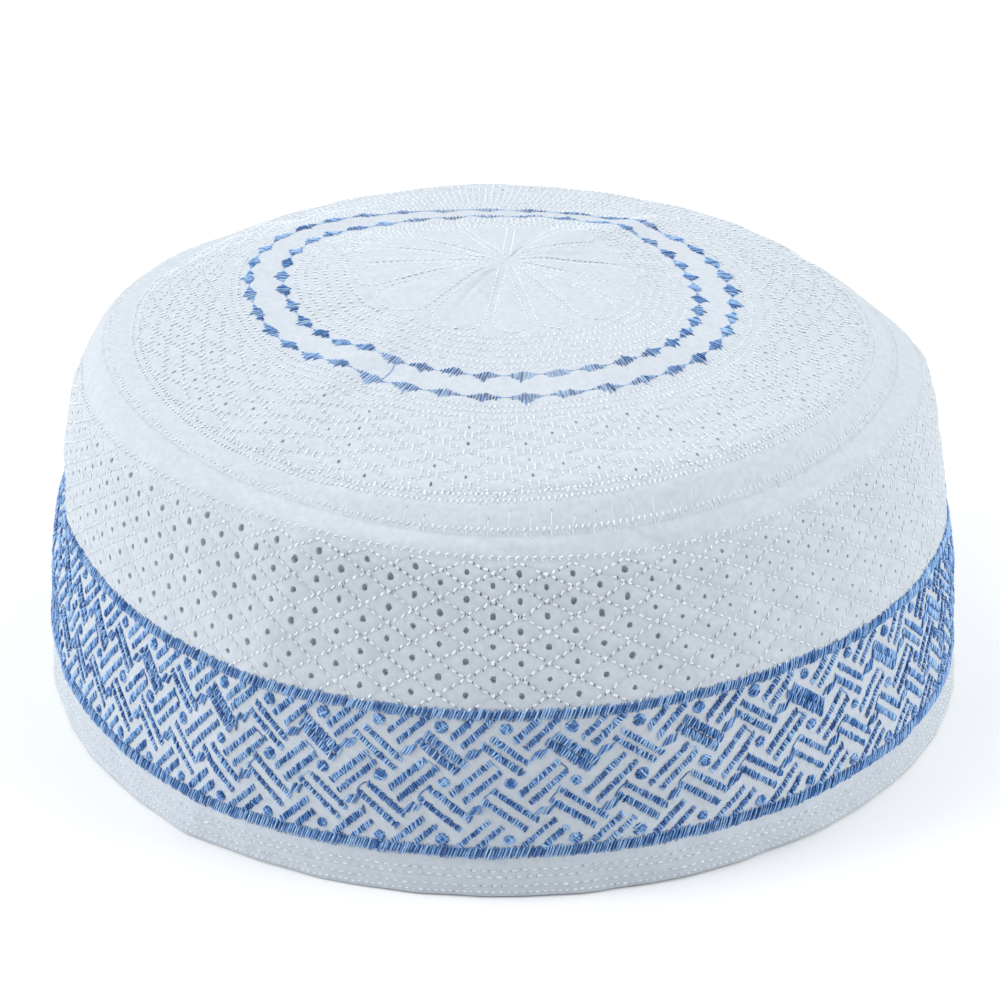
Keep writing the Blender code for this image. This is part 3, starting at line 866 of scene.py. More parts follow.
@dataclass(frozen=True)
class DiamondNet:
    """A net of stitched diamonds with an eyelet at the middle of each.

    A place in the net is a column, counted in diamonds round the cap, and a row, counted
    in rows of eyelets up the cloth. Odd rows are set off by half a diamond.
    """

    cells: int
    start: float
    first: float
    step: float
    bend: float
    rows: int
    pillow_root: float = 0.7
    line_narrowing: int = 6

    def slant(self, row: Array) -> Array:
        """Slant of a row: the first, plus the step per row, less the bend per row squared."""
        return self.first + self.step * row - self.bend * row ** 2

    def row(self, slant: Array) -> Array:
        """Row at a slant, the inverse of slant()."""
        away = slant - self.first
        if self.bend == 0:
            return away / self.step
        inside = np.maximum(self.step ** 2 - 4 * self.bend * away, 0)
        return (self.step - np.sqrt(inside)) / (2 * self.bend)

    def pillow(self, column: Array, row: Array) -> Array:
        """How far the cloth puffs up: 1 in the middle of a diamond, 0 on its stitches.

        The two families of stitch lines run where the doubled column plus or minus the
        row is odd. The puff is the product of the two cosines, rounded by a root, and
        fades out past the net's first and last row.

        Args:
            column: Columns of the net.
            row: Rows of the net.

        Returns:
            The puff at each place.
        """
        doubled = 2 * (column - self.start)
        lines = np.cos(math.pi / 2 * (doubled + row)) * np.cos(math.pi / 2 * (doubled - row))
        fade = np.clip(row + 1, 0, 1) * np.clip(self.rows - row, 0, 1)
        return np.abs(lines) ** self.pillow_root * fade

    def nearness(self, column: Array, row: Array) -> Array:
        """How near a place is to a stitched line: 1 on the line, 0 a tenth of a diamond off it."""
        doubled = 2 * (column - self.start)
        lines = np.minimum(np.abs(np.cos(math.pi / 2 * (doubled + row))),
                           np.abs(np.cos(math.pi / 2 * (doubled - row))))
        inside = (row >= -1) & (row <= self.rows)
        return (1 - lines) ** self.line_narrowing * inside

    def stretches(self, lean: Lean, stitches: int, length: float) -> tuple[Array, Array]:
        """Both ends of the stitches along every line of the net that leans one way.

        A line climbs from one row below the net to one row above it, and its stitches
        are spread evenly over its rows.

        Args:
            lean: Which way the lines climb.
            stitches: Stitches of a line.
            length: Length of a stitch, as a share of its pitch.

        Returns:
            Column and row of the lower ends, and of the upper ends, each stitches by 2.
        """
        line, place = np.meshgrid(np.arange(self.cells), np.arange(stitches), indexing="ij")
        pitch = (self.rows + 1) / stitches
        ends = []
        for side in (-0.5, 0.5):
            row = (place.ravel() + 0.5 + side * length) * pitch - 1
            ends.append(np.stack([self.start + line.ravel() + (1 + lean.value * row) / 2, row], axis=-1))
        return ends[0], ends[1]


WALL_NET = DiamondNet(cells=60, start=0.87, first=39.7 * MM, step=2.9 * MM, bend=0.055 * MM, rows=9)
CROWN_NET = DiamondNet(cells=36, start=0.0, first=77.6 * MM, step=2.08 * MM, bend=0.0, rows=8)


def ripple(angle: Array, slant: Array, seed: int, radius: float) -> Array:
    """A soft unevenness of the cloth between about -1 and 1.

    It is the mean of eight sine waves whose directions and lengths, 6 to 20 mm, come from
    the seed; each runs a whole number of times round the cap.

    Args:
        angle: Angles round the cap.
        slant: Slants.
        seed: Which set of waves.
        radius: Radius at which the waves have their length.

    Returns:
        The unevenness at each place.
    """
    rng = np.random.default_rng(seed)
    total = np.zeros(np.broadcast(angle, slant).shape)
    for _ in range(8):
        length = rng.uniform(6, 20) * MM
        heading = rng.uniform(0, math.pi)
        around = round(FULL_TURN * radius * math.cos(heading) / length)
        upward = FULL_TURN * math.sin(heading) / length
        total = total + np.sin(around * angle + upward * slant + rng.uniform(0, FULL_TURN))
    return total / 3.2


def near_rows(slant: Array, rows: tuple[StitchRow, ...], width: float) -> Array:
    """Sum over rows of stitches of the exponential of minus the squared distance over the width."""
    return sum(np.exp(-((slant - row.slant * MM) / width) ** 2) for row in rows)


def bridge(lower: Array, upper: Array) -> Array:
    """Faces between two closed rows of points, facing left of the way from lower to upper."""
    return np.stack([lower, np.roll(lower, -1), np.roll(upper, -1), upper], axis=-1)


@dataclass
class ClothSheet:
    """A cloth sheet: its outer face with sewn eyelets, its lining, and the edges between them."""

    surface: CapSurface
    outer: SheetGrid
    inner: SheetGrid
    relief: Callable
    # Gives the painted shade near stitched lines and the seam, 0 to 1
    painted_furrow_shade: Callable
    chart: Callable
    eyelet_depth: float = 1.45
    eyelet_taper: float = 0.75

    def draft(self, closed: bool) -> MeshDraft:
        """Builds the sheet.

        An eyelet is a pit whose wall runs in by its depth, a multiple of its mean radius,
        and narrows by its taper, down to the lining cloth that closes it.

        Args:
            closed: Whether the last row meets in a point, as the crown does.

        Returns:
            The finished mesh draft.
        """
        out, inn = self.outer, self.inner
        height = self.relief(out.angle, out.slant) - out.dip
        points_out = self.surface.face(out.angle, out.slant, height).reshape(-1, 3)
        points_in = self.surface.lining(inn.angle, inn.slant).reshape(-1, 3)
        shift = len(points_out)
        faces_out, angle_out, slant_out = out.triangles(height)
        faces_in, angle_in, slant_in = inn.triangles(inn.dip)
        faces = [faces_out, faces_in[:, ::-1] + shift]
        charts = [self.chart(angle_out, slant_out), self.chart(angle_in, slant_in)[:, ::-1]]
        angles, slants = out.angle.ravel(), out.slant.ravel()
        edge = points_out[out.eyelets]
        middle = edge.mean(axis=1, keepdims=True)
        radius = np.linalg.norm(edge - middle, axis=-1).mean(axis=1)[:, None, None]
        inward = self.surface.outward(angles[out.eyelets], slants[out.eyelets]) * self.eyelet_depth * radius
        floor = middle + (edge - middle) * self.eyelet_taper - inward
        first_floor = shift + len(points_in)
        floors = first_floor + np.arange(len(floor) * EDGE_POINTS).reshape(-1, EDGE_POINTS)
        walls = np.stack([out.eyelets, np.roll(out.eyelets, -1, axis=1),
                          np.roll(floors, -1, axis=1), floors], axis=-1)
        tips = first_floor + floors.size
        rims = [walls.reshape(-1, 4), floors, bridge(inn.index[0] + shift, out.index[0])]
        if closed:
            for ring, at, back in ((out.index[-1], tips, False), (inn.index[-1] + shift, tips + 1, True)):
                fan = np.stack([ring, np.roll(ring, -1), np.full(len(ring), at)], axis=-1)
                rims.append(fan[:, ::-1] if back else fan)
        else:
            rims.append(bridge(out.index[-1], inn.index[-1] + shift))
        middle_face = self.surface.face(0.0, self.surface.middle)[None]
        middle_lining = self.surface.lining(0.0, self.surface.middle)[None]
        points = np.concatenate([points_out, points_in, floor.reshape(-1, 3), middle_face, middle_lining])
        tip = self.surface.middle
        angles = np.concatenate([angles, inn.angle.ravel(), angles[out.eyelets].ravel(), [0.0, 0.0]])
        slants = np.concatenate([slants, inn.slant.ravel(), slants[out.eyelets].ravel(), [tip, tip]])
        faces += rims
        charts += [self.chart(angles[block], slants[block]) for block in rims]
        tone = np.ones(len(points))
        # Painted shade: the outer face's tone falls near stitched lines and the seam
        tone[:shift] = 1 - self.painted_furrow_shade(out.angle, out.slant).ravel()
        draft = MeshDraft()
        draft.add(points, faces, tone, charts)
        return draft


@dataclass
class QuiltedWall:
    """The standing side wall, with its puffed diamonds and punched eyelets."""

    surface: CapSurface
    steps_per_cell: int = 10
    steps_per_row: int = 5
    puff: float = 0.36 * MM
    eyelet: float = 0.65 * MM
    narrow: float = 0.9
    dip: float = 0.18 * MM
    gap: float = -0.06 * MM
    unevenness: float = 0.16 * MM
    eyelet_sizes: Pair = (0.85, 1.1)
    edge_sizes: Pair = (0.8, 1.15)
    edge_rows: tuple[float, ...] = (0.0, 0.25 * MM, 0.6 * MM, 1.1 * MM)
    hem_grid: Triple = (1.9 * MM, 8.4 * MM, 0.65 * MM)
    border_from: float = 9.2 * MM
    border_rows: int = 18
    top_rows: int = 16
    lining_edge: Pair = (0.0, 1.5 * MM)
    lining_from: float = 6 * MM
    lining_rows: int = 7
    hem_rounding: float = 0.9 * MM
    hem_round_height: float = 1.1 * MM
    stitch_dent: float = 0.18 * MM
    dent_width: float = 0.45 * MM
    # Widths and strength of the painted shade along stitched lines and the seam
    shade_band_width: float = 0.4 * MM
    seam_width: float = 0.25 * MM
    row_shade: float = 0.6
    bend_from: float = 63 * MM

    def relief(self, angle: Array, slant: Array) -> Array:
        """Height of the cloth above its smooth face.

        It is the puff of the net's diamonds, plus a soft unevenness, less a rounding of the
        hem's lowest millimetre and the dents along the hem's stitches.

        Args:
            angle: Angles round the cap.
            slant: Slants.

        Returns:
            The height at each place.
        """
        column = self.surface.wall_turn(angle) * WALL_NET.cells / FULL_TURN
        puff = self.puff * WALL_NET.pillow(column, WALL_NET.row(slant))
        hem = self.hem_rounding * np.clip(1 - slant / self.hem_round_height, 0, 1) ** 2
        dents = self.stitch_dent * near_rows(slant, HEM_ROWS, self.dent_width)
        uneven = self.unevenness * ripple(angle, slant, 3, self.surface.wall_radius)
        uneven = uneven * self.surface.calm(slant)
        return puff - hem - dents + uneven

    def painted_furrow_shade(self, angle: Array, slant: Array) -> Array:
        """How much painted shade darkens the cloth near a line of stitches or the seam: 0 far off to 1 on it.
        """
        column = self.surface.wall_turn(angle) * WALL_NET.cells / FULL_TURN
        rows = self.row_shade * near_rows(slant, HEM_ROWS + SEAM_ROWS, self.shade_band_width)
        seam = np.exp(-((slant - self.surface.seam_line(angle)) / self.seam_width) ** 2)
        return np.clip(WALL_NET.nearness(column, WALL_NET.row(slant)) + rows + seam, 0, 1)

    def build(self, finish: ClothFinish) -> Piece:
        """Builds the wall.

        Args:
            finish: The cloth.

        Returns:
            The wall's piece, riding on the body.
        """
        rng = np.random.default_rng(11)
        surface, net = self.surface, WALL_NET
        count = net.cells * self.steps_per_cell
        turns = (np.arange(count) / self.steps_per_cell + net.start) * FULL_TURN / net.cells
        angles = surface.wall_angle(turns)
        last = net.rows - 1
        zone = net.slant(np.arange(-self.steps_per_row, (last + 1) * self.steps_per_row + 1)
                         / self.steps_per_row)
        border = np.linspace(self.border_from, zone[0], self.border_rows, endpoint=False)
        below = np.concatenate([self.edge_rows, np.arange(*self.hem_grid), border])
        top = surface.seam - self.gap / 2
        above = np.linspace(zone[-1], top, self.top_rows)[1:]
        outer = SheetGrid(angles, self.bend_to_seam(np.concatenate([below, zone, above]), angles))
        lining = np.concatenate([self.lining_edge, np.linspace(self.lining_from, top, self.lining_rows)])
        inner = SheetGrid(angles, self.bend_to_seam(lining, angles))
        row, cell = np.meshgrid(np.arange(net.rows), np.arange(net.cells), indexing="ij")
        row, cell = row.ravel(), cell.ravel()
        column = (cell * self.steps_per_cell + row % 2 * (self.steps_per_cell // 2)) % count
        radius = self.eyelet * rng.uniform(*self.eyelet_sizes, (len(row), 1))
        radius = radius * rng.uniform(*self.edge_sizes, (len(row), EDGE_POINTS))
        heading = np.degrees(angles[column]) % 360
        radius = radius * np.interp(heading, *zip(*EYELET_OPENINGS))[:, None]
        outer.cut((row + 1) * self.steps_per_row + len(below), column, radius, surface.radius_at, self.narrow,
                  self.dip)
        sheet = ClothSheet(surface, outer, inner, self.relief, self.painted_furrow_shade,
                           lambda angle, slant: np.stack([angle * surface.wall_radius, slant], axis=-1))
        piece = sheet.draft(False).write("quilted_wall", finish.material(), CLOTH_CREASE)
        return dress(piece, "white_cloth", "side_wall")

    def bend_to_seam(self, slants: Array, angles: Array) -> Array:
        """Rows whose last few millimetres follow the scalloped seam."""
        share = np.clip((slants - self.bend_from) / (self.surface.seam - self.bend_from), 0, 1)
        pull = self.surface.seam_line(angles) - self.surface.seam
        return slants[:, None] + share[:, None] * pull


@dataclass
class QuiltedCrown:
    """The domed top: a net of diamonds, rings of stitching and a flower of fifteen petals."""

    surface: CapSurface
    steps_per_cell: int = 10
    steps_per_row: int = 5
    puff: float = 0.26 * MM
    petal_puff: float = 0.25 * MM
    petal_length: float = 26.5 * MM
    petal_knee: float = 0.82
    petal_margin: float = 0.75 * MM
    eyelet: float = 0.5 * MM
    narrow: float = 0.6
    dip: float = 0.1 * MM
    gap: float = -0.06 * MM
    eyelet_sizes: Pair = (0.65, 1.1)
    edge_sizes: Pair = (0.8, 1.2)
    edge_rows: int = 16
    ring_grid: Triple = (0.65 * MM, 118.5 * MM, 0.6 * MM)
    petal_gap: float = 0.8 * MM
    petal_rows: int = 34
    middle_gap: float = 0.5 * MM
    lining_rows: int = 14
    pierced_share: float = 0.55
    unevenness: float = 0.14 * MM
    calm_middle: float = 14 * MM
    stitch_dent: float = 0.2 * MM
    dent_width: float = 0.5 * MM
    # Widths and strength of the painted shade along stitched lines and the seam
    shade_band_width: float = 0.4 * MM
    seam_width: float = 0.25 * MM
    net_shade: float = 0.6
    row_shade: float = 0.4
    crease_bearing: float = math.radians(66)
    crease_depth: float = 0.3 * MM
    crease_width: float = 0.5 * MM
    crease_reach: float = 22 * MM
    bend_reach: float = 5 * MM

    def petals(self) -> tuple[Array, Array]:
        """Heading of every petal's middle and its spread, from the lines between the petals."""
        edges = np.radians(PETAL_EDGES)
        spread = np.diff(np.append(edges, edges[0] + FULL_TURN))
        return edges + spread / 2, spread

    def petal_width(self, reach: Array, spread: float) -> Array:
        """Half width of a petal against the distance from the crown's middle.

        It is half the width of the petal's wedge less a margin, closed by a quarter of an
        ellipse over the last part of its length.

        Args:
            reach: Distances from the middle of the crown.
            spread: Angle of the wedge.

        Returns:
            The half widths, 0 where there is no petal.
        """
        wedge = np.maximum(reach * math.tan(spread / 2) - self.petal_margin, 0)
        knee = self.petal_knee * self.petal_length
        share = np.clip((reach - knee) / (self.petal_length - knee), 0, 1)
        return wedge * np.sqrt(1 - share ** 2)

    def relief(self, angle: Array, slant: Array) -> Array:
        """Height of the cloth above its smooth face.

        It is the puff of the net's diamonds and of the petals, less the dents along the
        stitched rings and the thin crease across the middle, plus a soft unevenness.

        Args:
            angle: Angles round the cap.
            slant: Slants.

        Returns:
            The height at each place.
        """
        column = (angle - FRONT) * CROWN_NET.cells / FULL_TURN
        puff = self.puff * CROWN_NET.pillow(column, CROWN_NET.row(slant))
        dents = self.stitch_dent * near_rows(slant, CROWN_ROWS, self.dent_width)
        reach = self.surface.middle - slant
        petal = 0.0
        for heading, spread in zip(*self.petals()):
            aside = np.abs((angle - heading + math.pi) % FULL_TURN - math.pi) * reach
            half = self.petal_width(reach, spread)
            inside = np.clip(1 - (aside / np.maximum(half, 0.01 * MM)) ** 2, 0, 1)
            petal = petal + self.petal_puff * np.sqrt(inside) * np.clip(half / (1.5 * MM), 0, 1)
        across = np.abs(reach * np.sin(angle - self.crease_bearing))
        crease = self.crease_depth * np.exp(-(across / self.crease_width) ** 2)
        crease = crease * np.clip(1.3 - reach / self.crease_reach, 0, 1)
        uneven = self.unevenness * ripple(angle, slant, 5, 60 * MM) * np.clip(reach / self.calm_middle, 0, 1)
        uneven = uneven * self.surface.calm(slant)
        return puff + petal - dents - crease + uneven

    def painted_furrow_shade(self, angle: Array, slant: Array) -> Array:
        """How much painted shade darkens the cloth near a line of stitches or the seam: 0 far off to 1 on it.
        """
        column = (angle - FRONT) * CROWN_NET.cells / FULL_TURN
        net = self.net_shade * CROWN_NET.nearness(column, CROWN_NET.row(slant))
        rows = self.row_shade * near_rows(slant, CROWN_ROWS, self.shade_band_width)
        seam = np.exp(-((slant - self.surface.seam_line(angle)) / self.seam_width) ** 2)
        return np.clip(net + rows + seam, 0, 1)

    def build(self, finish: ClothFinish) -> Piece:
        """Builds the crown.

        Args:
            finish: The cloth.

        Returns:
            The crown's piece, riding on the body.
        """
        rng = np.random.default_rng(23)
        surface, net = self.surface, CROWN_NET
        count = net.cells * self.steps_per_cell
        turns = (np.arange(count) / self.steps_per_cell + net.start) * FULL_TURN / net.cells
        angles = FRONT + turns
        zone = net.slant(np.arange(-self.steps_per_row, net.rows * self.steps_per_row + 1)
                         / self.steps_per_row)
        edge = surface.seam + self.gap / 2
        below = np.linspace(edge, zone[0], self.edge_rows)[:-1]
        near_middle = surface.middle - self.middle_gap
        rings = np.arange(zone[-1] + self.ring_grid[0], *self.ring_grid[1:])
        above = np.concatenate([rings, np.linspace(rings[-1] + self.petal_gap, near_middle, self.petal_rows)])
        outer = SheetGrid(angles, self.bend_to_seam(np.concatenate([below, zone, above]), angles))
        lining = np.linspace(edge, near_middle, self.lining_rows)
        inner = SheetGrid(angles, self.bend_to_seam(lining, angles))
        row, cell = np.meshgrid(np.arange(net.rows), np.arange(net.cells), indexing="ij")
        chosen = rng.random(row.size) < self.pierced_share
        row, cell = row.ravel()[chosen], cell.ravel()[chosen]
        column = (cell * self.steps_per_cell + row % 2 * (self.steps_per_cell // 2)) % count
        radius = self.eyelet * rng.uniform(*self.eyelet_sizes, (len(row), 1))
        radius = radius * rng.uniform(*self.edge_sizes, (len(row), EDGE_POINTS))
        outer.cut((row + 1) * self.steps_per_row + len(below), column, radius, surface.radius_at, self.narrow,
                  self.dip)
        sheet = ClothSheet(surface, outer, inner, self.relief, self.painted_furrow_shade, self.plan)
        piece = sheet.draft(True).write("quilted_crown", finish.material(), CLOTH_CREASE)
        return dress(piece, "white_cloth", "crown_top")

    def plan(self, angle: Array, slant: Array) -> Array:
        """Flat chart of the crown: its disc of cloth laid out round the middle."""
        reach = self.surface.middle - slant
        return np.stack([reach * np.cos(angle), reach * np.sin(angle)], axis=-1)

    def bend_to_seam(self, slants: Array, angles: Array) -> Array:
        """Rows whose first few millimetres follow the scalloped seam."""
        share = np.clip(1 - (slants - self.surface.seam) / self.bend_reach, 0, 1)
        pull = self.surface.seam_line(angles) - self.surface.seam
        return slants[:, None] + share[:, None] * pull


def dress(piece: Piece, slot: str, *nodes: str) -> Piece:
    """Makes a piece ride on the cap's body and stand for solids.

    Args:
        piece: The piece.
        slot: The record's material slot; not used.
        nodes: Names of the solids that it replaces, if any.

    Returns:
        The same piece.
    """
    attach(piece, "root")
    if nodes:
        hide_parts(*nodes)
    return piece


class Sewing(NamedTuple):
    """How a group of stitches is sewn.

    relief is the height of the cloth, and width a factor on the thread's width and rise.
    wall says whether turns run along the wall's cloth, which the creases crowd. hole is
    the tone of the painted shadow at the needle hole of each start, 0 dark to 1 light, or none for no hole.
    """

    relief: Callable
    width: float
    wall: bool
    hole: float | None = None


@dataclass
class WhiteStitching:
    """The white stitches of the net, the hem, the seam and the crown's rings and petals."""

    surface: CapSurface
    half_width: float = 0.23 * MM
    flatness: float = 0.5
    rise: float = 0.1 * MM
    stray: float = 0.07 * MM
    lean_stray: float = 12.0
    row_shift: float = 0.37
    sewn_share: float = 0.97
    # Painted shadow at each needle hole: sizes of the dark marks, and how they thin out and lighten towards
    # the sides, where the side lights reach into the hole
    hole_half_width: float = 0.13 * MM
    hole_half_length: float = 0.22 * MM
    hole_rise: float = 0.1 * MM
    hole_size: Pair = (0.7, 1.25)
    hole_stray: float = 0.06 * MM
    hole_loss: float = 1.4
    hole_fading: float = 0.9
    hole_spread: float = 0.12
    hem_width: float = 0.95
    hem_hole: float = 0.8
    seam_width: float = 0.85
    seam_hole: float = 0.9
    foot_below: float = 0.7 * MM
    fork_above: float = 1.2 * MM
    fork_width: float = 0.45
    head_range: Pair = (2.6, 4.6)
    head_stray: float = 0.4 * MM
    head_width: float = 0.4
    head_hole: float = 0.7
    arm_reach: Pair = (1.3 * MM, 1.5 * MM)
    arm_share: float = 0.6
    arm_width: float = 0.28
    ring_width: float = 1.1
    ring_hole: float = 0.95
    petal_start: float = 3.0 * MM
    petal_pitch: float = 1.2 * MM
    petal_stitch: Pair = (0.1, 0.7)
    petal_width: float = 1.15

    def __post_init__(self) -> None:
        """Seeds the small differences between stitches and starts the mesh of painted needle-hole shadows."""
        self.rng = np.random.default_rng(41)
        self.hole_shadows = MeshDraft()

    def stitch(self, draft: MeshDraft, start: Array, end: Array, sewing: Sewing) -> None:
        """Adds one stitch between each pair of places: a thread that comes up at one and dives at the other.

        It takes WHITE_COURSE. From stitch to stitch the width differs by up to a fifth and
        the rise by up to three tenths.

        Args:
            draft: The mesh to add to.
            start: Turn and slant of the stitches' starts, stitches by 2.
            end: Turn and slant of their ends.
            sewing: How they are sewn.
        """
        share = np.array(WHITE_COURSE.share)
        stray = np.array([self.stray / self.surface.wall_radius, self.stray])
        start = start + self.rng.normal(0, 1, start.shape) * stray
        end = end + self.rng.normal(0, 1, end.shape) * stray
        place = start[:, None] + share[:, None] * (end - start)[:, None]
        turn, slant = place[..., 0], place[..., 1]
        angle = self.surface.wall_angle(turn) if sewing.wall else turn
        thick = self.half_width * sewing.width * self.rng.uniform(0.8, 1.2, (len(start), 1))
        rise = self.rise * sewing.width * self.rng.uniform(0.7, 1.3, (len(start), 1))
        lift = rise * np.array(WHITE_COURSE.height)
        centre = self.surface.face(angle, slant, lift + sewing.relief(angle, slant))
        normal = self.surface.outward(angle, slant)
        widths = thick * np.array(WHITE_COURSE.width)
        tone = self.rng.uniform(0.2, 0.9, len(start))
        add_strands(draft, centre, normal, widths, widths * self.flatness, 3, tone)
        if sewing.hole is not None:
            self.paint_hole_shadows(angle[:, 0], slant[:, 0], sewing.relief, sewing.hole)

    def paint_hole_shadows(self, angle: Array, slant: Array, relief: Callable, tone: float) -> None:
        """Adds the painted shadow of a needle hole at each place: a low upright dark prism.

        At the sides the side lights reach into each hole: away from the front the painted shadows get
        fewer and lighter, by the size of the cosine of the angle.

        Args:
            angle: Angles round the cap.
            slant: Slants.
            relief: Height of the cloth.
            tone: Mean shade, 0 dark to 1 light.
        """
        sideways = np.abs(np.cos(angle))
        shown = self.rng.random(len(angle)) > self.hole_loss * sideways
        angle, slant, sideways = angle[shown], slant[shown], sideways[shown]
        size = self.rng.uniform(*self.hole_size, (len(angle), 1))
        ends = slant[:, None] + self.hole_half_length * size * np.array([-1, 1])
        aside = self.rng.normal(0, self.hole_stray, ends.shape)
        sides = angle[:, None] + aside / self.surface.radius_at(ends)
        centre = self.surface.face(sides, ends, relief(sides, ends))
        normal = self.surface.outward(sides, ends)
        shade = tone + self.hole_fading * sideways + self.rng.normal(0, self.hole_spread, len(angle))
        add_strands(self.hole_shadows, centre, normal, self.hole_half_width * size, self.hole_rise, 3, shade)

    def build_hole_shadows(self, finish: ThreadFinish) -> Piece:
        """The painted needle-hole shadows of all stitches so far, as one piece."""
        return dress(self.hole_shadows.write("needle_hole_shadows", finish.material()), "white_cloth")

    def ring(self, draft: MeshDraft, row: StitchRow, sewing: Sewing) -> None:
        """Adds a row of stitches round the cap.

        Args:
            draft: The mesh to add to.
            row: The row's sizes.
            sewing: How the row is sewn.
        """
        radius = self.surface.radius_at(row.slant * MM)
        count = round(FULL_TURN * radius / (row.pitch * MM))
        turn = (np.arange(count) + self.row_shift * row.slant) * FULL_TURN / count
        half = row.length * MM / 2
        lean = np.radians(row.lean + self.rng.normal(0, self.lean_stray, count) * (row.lean != 0))
        reach = np.stack([half * np.cos(lean) / radius, half * np.sin(lean)], axis=-1)
        middle = np.stack([turn, np.full(count, row.slant * MM)], axis=-1)
        self.stitch(draft, middle - reach, middle + reach, sewing)

    def net(self, draft: MeshDraft, net: DiamondNet, line: NetLine, relief: Callable, wall: bool) -> None:
        """Adds the stitches along one family of a net's lines; a few of them at random are left out.

        Args:
            draft: The mesh to add to.
            net: The net.
            line: The family's sizes.
            relief: Height of the cloth.
            wall: Whether the net lies on the wall, and not on the crown.
        """
        offset = 0.0 if wall else FRONT
        ends = []
        for place, side in zip(net.stretches(line.lean, line.stitches, line.length), (-1, 1)):
            slant = net.slant(place[:, 1]) + side * line.twist * MM + line.shift * MM
            ends.append(np.stack([offset + place[:, 0] * FULL_TURN / net.cells, slant], axis=-1))
        shown = self.rng.random(len(ends[0])) < self.sewn_share
        self.stitch(draft, ends[0][shown], ends[1][shown], Sewing(relief, line.width, wall, line.hole))

    def build_wall_net(self, wall: QuiltedWall, finish: ThreadFinish) -> Piece:
        """The wall's net: stitches along the line one way, shorter and steeper ones the other way."""
        draft = MeshDraft()
        for line in WALL_NET_LINES:
            self.net(draft, WALL_NET, line, wall.relief, True)
        return dress(draft.write("wall_net_stitches", finish.material()), "white_cloth")

    def build_hem(self, wall: QuiltedWall, finish: ThreadFinish) -> Piece:
        """The four rows of the hem."""
        draft = MeshDraft()
        for row in HEM_ROWS:
            self.ring(draft, row, Sewing(wall.relief, self.hem_width, True, self.hem_hole))
        return dress(draft.write("hem_stitches", finish.material()), "white_cloth")

    def build_seam(self, wall: QuiltedWall, crown: QuiltedCrown, finish: ThreadFinish) -> Piece:
        """The rows beside the seam and the tall forked stitches that hold it.

        Args:
            wall: The wall below the seam.
            crown: The crown above it.
            finish: The thread.

        Returns:
            The piece.
        """
        draft = MeshDraft()
        for row in SEAM_ROWS:
            relief = wall.relief if row.slant * MM < self.surface.seam else crown.relief
            self.ring(draft, row, Sewing(relief, self.seam_width, False, self.seam_hole))
        count = self.surface.seam_stitches
        turn = np.arange(count) * FULL_TURN / count
        seam = self.surface.seam
        radius = self.surface.radius_at(seam)
        foot = np.stack([turn, np.full(count, seam - self.foot_below)], axis=-1)
        fork = np.stack([turn, np.full(count, seam + self.fork_above)], axis=-1)
        aside = self.rng.normal(0, self.head_stray, count) / radius
        head = np.stack([turn + aside, seam + self.rng.uniform(*self.head_range, count) * MM], axis=-1)
        self.stitch(draft, foot, fork, Sewing(crown.relief, self.fork_width, False))
        self.stitch(draft, head, fork, Sewing(crown.relief, self.head_width, False, self.head_hole))
        for side in (-1, 1):
            shown = self.rng.random(count) < self.arm_share
            arm = foot + np.array([side * self.arm_reach[0] / radius, self.arm_reach[1]])
            self.stitch(draft, foot[shown], arm[shown], Sewing(crown.relief, self.arm_width, False))
        return dress(draft.write("seam_stitches", finish.material()), "white_cloth")

    def build_crown(self, crown: QuiltedCrown, finish: ThreadFinish) -> list[Piece]:
        """The crown's net, rings and petals.

        A petal's outline runs out along one side and back along the other, and its
        stitches are spread evenly over the outline's length.

        Args:
            crown: The crown whose net and petals are stitched.
            finish: The thread.

        Returns:
            The two pieces.
        """
        draft = MeshDraft()
        for line in CROWN_NET_LINES:
            self.net(draft, CROWN_NET, line, crown.relief, False)
        net = dress(draft.write("crown_net_stitches", finish.material()), "white_cloth")
        draft = MeshDraft()
        for row in CROWN_ROWS:
            self.ring(draft, row, Sewing(crown.relief, self.ring_width, False, self.ring_hole))
        reach = np.linspace(self.petal_start, crown.petal_length, 600)
        bend = np.concatenate([reach, reach[::-1]])
        for heading, spread in zip(*crown.petals()):
            half = crown.petal_width(bend, spread) * np.repeat([1, -1], len(reach))
            along = np.concatenate([[0.0], np.cumsum(np.hypot(np.diff(bend), np.diff(half)))])
            count = round(along[-1] / self.petal_pitch)
            ends = []
            for share in self.petal_stitch:
                at = (np.arange(count) + share) * along[-1] / count
                distance, aside = np.interp(at, along, bend), np.interp(at, along, half)
                ends.append(np.stack([heading + np.arctan2(aside, distance),
                                      self.surface.middle - np.hypot(distance, aside)], axis=-1))
            self.stitch(draft, ends[0], ends[1], Sewing(crown.relief, self.petal_width, False))
        rings = dress(draft.write("crown_ring_stitches", finish.material()), "white_cloth")
        return [net, rings]


